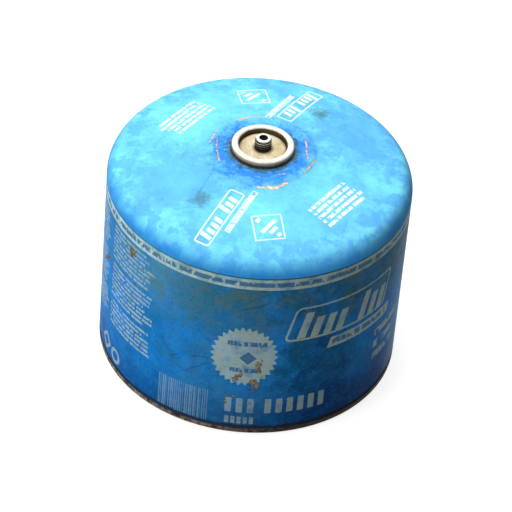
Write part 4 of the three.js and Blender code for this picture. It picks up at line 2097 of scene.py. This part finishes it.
@dataclass
class Studio:
    """A plain white floor, a white surround and two soft lamps. Lengths in metres."""

    floor_side: float = 6.0
    floor_drop: float = 0.0002
    floor_grey: float = 0.5
    floor_glow: float = 0.72
    lamp_target: float = 0.05
    ambient: float = 0.24
    lamps: list[Lamp] = field(
        default_factory=lambda: [
            Lamp("overhead", (-0.15, 0.25, 1.3), 1.1, 17.0),
            Lamp("left_front", (-1.1, -0.75, 0.75), 0.7, 9.5),
        ]
    )

    def build(self) -> None:
        """Make the floor, the world and the lamps."""
        self._floor()
        self._world()
        for lamp in self.lamps:
            lamp.build(Vector((0, 0, self.lamp_target)))
        LOG.info("studio lit")

    def _white_for_camera(self, w: Wiring) -> Value:
        """Mask of the rays that see the plain white surround.

        Args:
            w: the wiring of the floor or the world.

        Returns:
            The mask.
        """
        path = w.node("LightPath").outputs
        names = ("Is Camera Ray", "Is Glossy Ray", "Is Transmission Ray")
        return w.most([path[name] for name in names])

    def _floor(self) -> None:
        """The floor, which keeps the canister's shadow."""
        half = self.floor_side / 2
        corners = [(-half, -half, 0), (half, -half, 0), (half, half, 0), (-half, half, 0)]
        mesh = bpy.data.meshes.new("floor")
        mesh.from_pydata(corners, [], [(0, 1, 2, 3)])
        made = bpy.data.objects.new("floor", mesh)
        made.location.z = -self.floor_drop
        bpy.context.scene.collection.objects.link(made)
        material = bpy.data.materials.new("white floor")
        material.use_nodes = True
        material.node_tree.nodes.clear()
        w = Wiring(material.node_tree)
        plain = w.node("BsdfDiffuse")
        plain.inputs["Color"].default_value = (*[self.floor_grey] * 3, 1)
        glow = w.node("Emission")
        glow.inputs["Strength"].default_value = self.floor_glow
        both = w.node("AddShader")
        w.feed(both.inputs[0], plain.outputs[0])
        w.feed(both.inputs[1], glow.outputs[0])
        choice = w.node("MixShader")
        w.feed(choice.inputs[0], self._white_for_camera(w))
        w.feed(choice.inputs[1], plain.outputs[0])
        w.feed(choice.inputs[2], both.outputs[0])
        w.feed(w.node("OutputMaterial").inputs[0], choice.outputs[0])
        mesh.materials.append(material)

    def _world(self) -> None:
        """A white surround that lights the object plainly."""
        world = bpy.data.worlds.new("surround")
        bpy.context.scene.world = world
        world.use_nodes = True
        world.node_tree.nodes.clear()
        w = Wiring(world.node_tree)
        background = w.node("Background")
        background.inputs["Color"].default_value = (1, 1, 1, 1)
        w.feed(background.inputs["Strength"], w.level(self._white_for_camera(w), self.ambient, 1.0))
        w.feed(w.node("OutputWorld").inputs[0], background.outputs[0])


def inner_finishes(effects: Effects) -> dict[str, bpy.types.Material]:
    """Make the finishes of the valve's small pieces.

    Args:
        effects: the shared node groups.

    Returns:
        Each node's material.
    """
    black, soot = shade("151413"), shade("0a0908")
    rubber = PlainFinish(effects, "moulded rubber", black, soot, 0.85, shine=0.1).build()
    dark = PlainFinish(effects, "dark acetal", shade("120d0b"), shade("080605"), 0.7, shine=0.1).build()
    light = PlainFinish(effects, "pale acetal", shade("dedbd0"), shade("b3aa93"), 0.5).build()
    wire = PlainFinish(effects, "spring wire", shade("a5a8aa"), shade("6d6a62"), 0.35, 1.0, 0.2).build()
    return {
        "cup_gasket": rubber,
        "stem_seal": rubber,
        "valve_stem": dark,
        "valve_housing": light,
        "stem_spring": wire,
    }


def main() -> None:
    """Build the canister's pieces in order, then the studio and the camera."""
    logging.basicConfig(level=logging.INFO, format="%(message)s")
    bpy.context.scene.view_settings.view_transform = "Standard"
    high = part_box("can_body")[1]
    ring_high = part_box("valve_cup")[1]
    post_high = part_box("threaded_post")[1]
    vessel = Vessel(radius=high.x / MM)
    cup = MountingCup(ring_top=ring_high.z / MM, ring_radius=ring_high.x / MM)
    post = ThreadedPost(top=post_high.z / MM, floor_top=cup.floor_top)
    effects = Effects.build(vessel.radius)
    radii = (vessel.radius, vessel.bead_radius, cup.ring_radius)
    paint = CanPaint(effects, *radii, vessel.seam_height, vessel.wall_top)
    tin = DirtyTinWithShade(effects, cup.ring_top, cup.floor_top, cup.recess_radius)
    thread = (post.crest, post.thread_low, post.thread_high)
    steel = TurnedPost(effects, *thread, post.bore, post.top, post.chamfer)
    vessel.build(cup.ring_top, paint.build())
    cup.build(tin.build())
    post.build(steel.build())
    finishes = inner_finishes(effects)
    coil_low, coil_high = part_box("stem_spring")
    travel = frame["joints"][0]["range_m"][1] / MM
    seat = vessel.spring_seat(cup.ring_top)
    coil = StemSpring(coil_low.z / MM, coil_high.z / MM, coil_high.x / MM, seat, travel)
    coil.build(finishes.pop("stem_spring"))
    ValveInsides(finishes).build()
    Studio().build()
    Viewpoint().build()


if __name__ == "__main__":
    main()
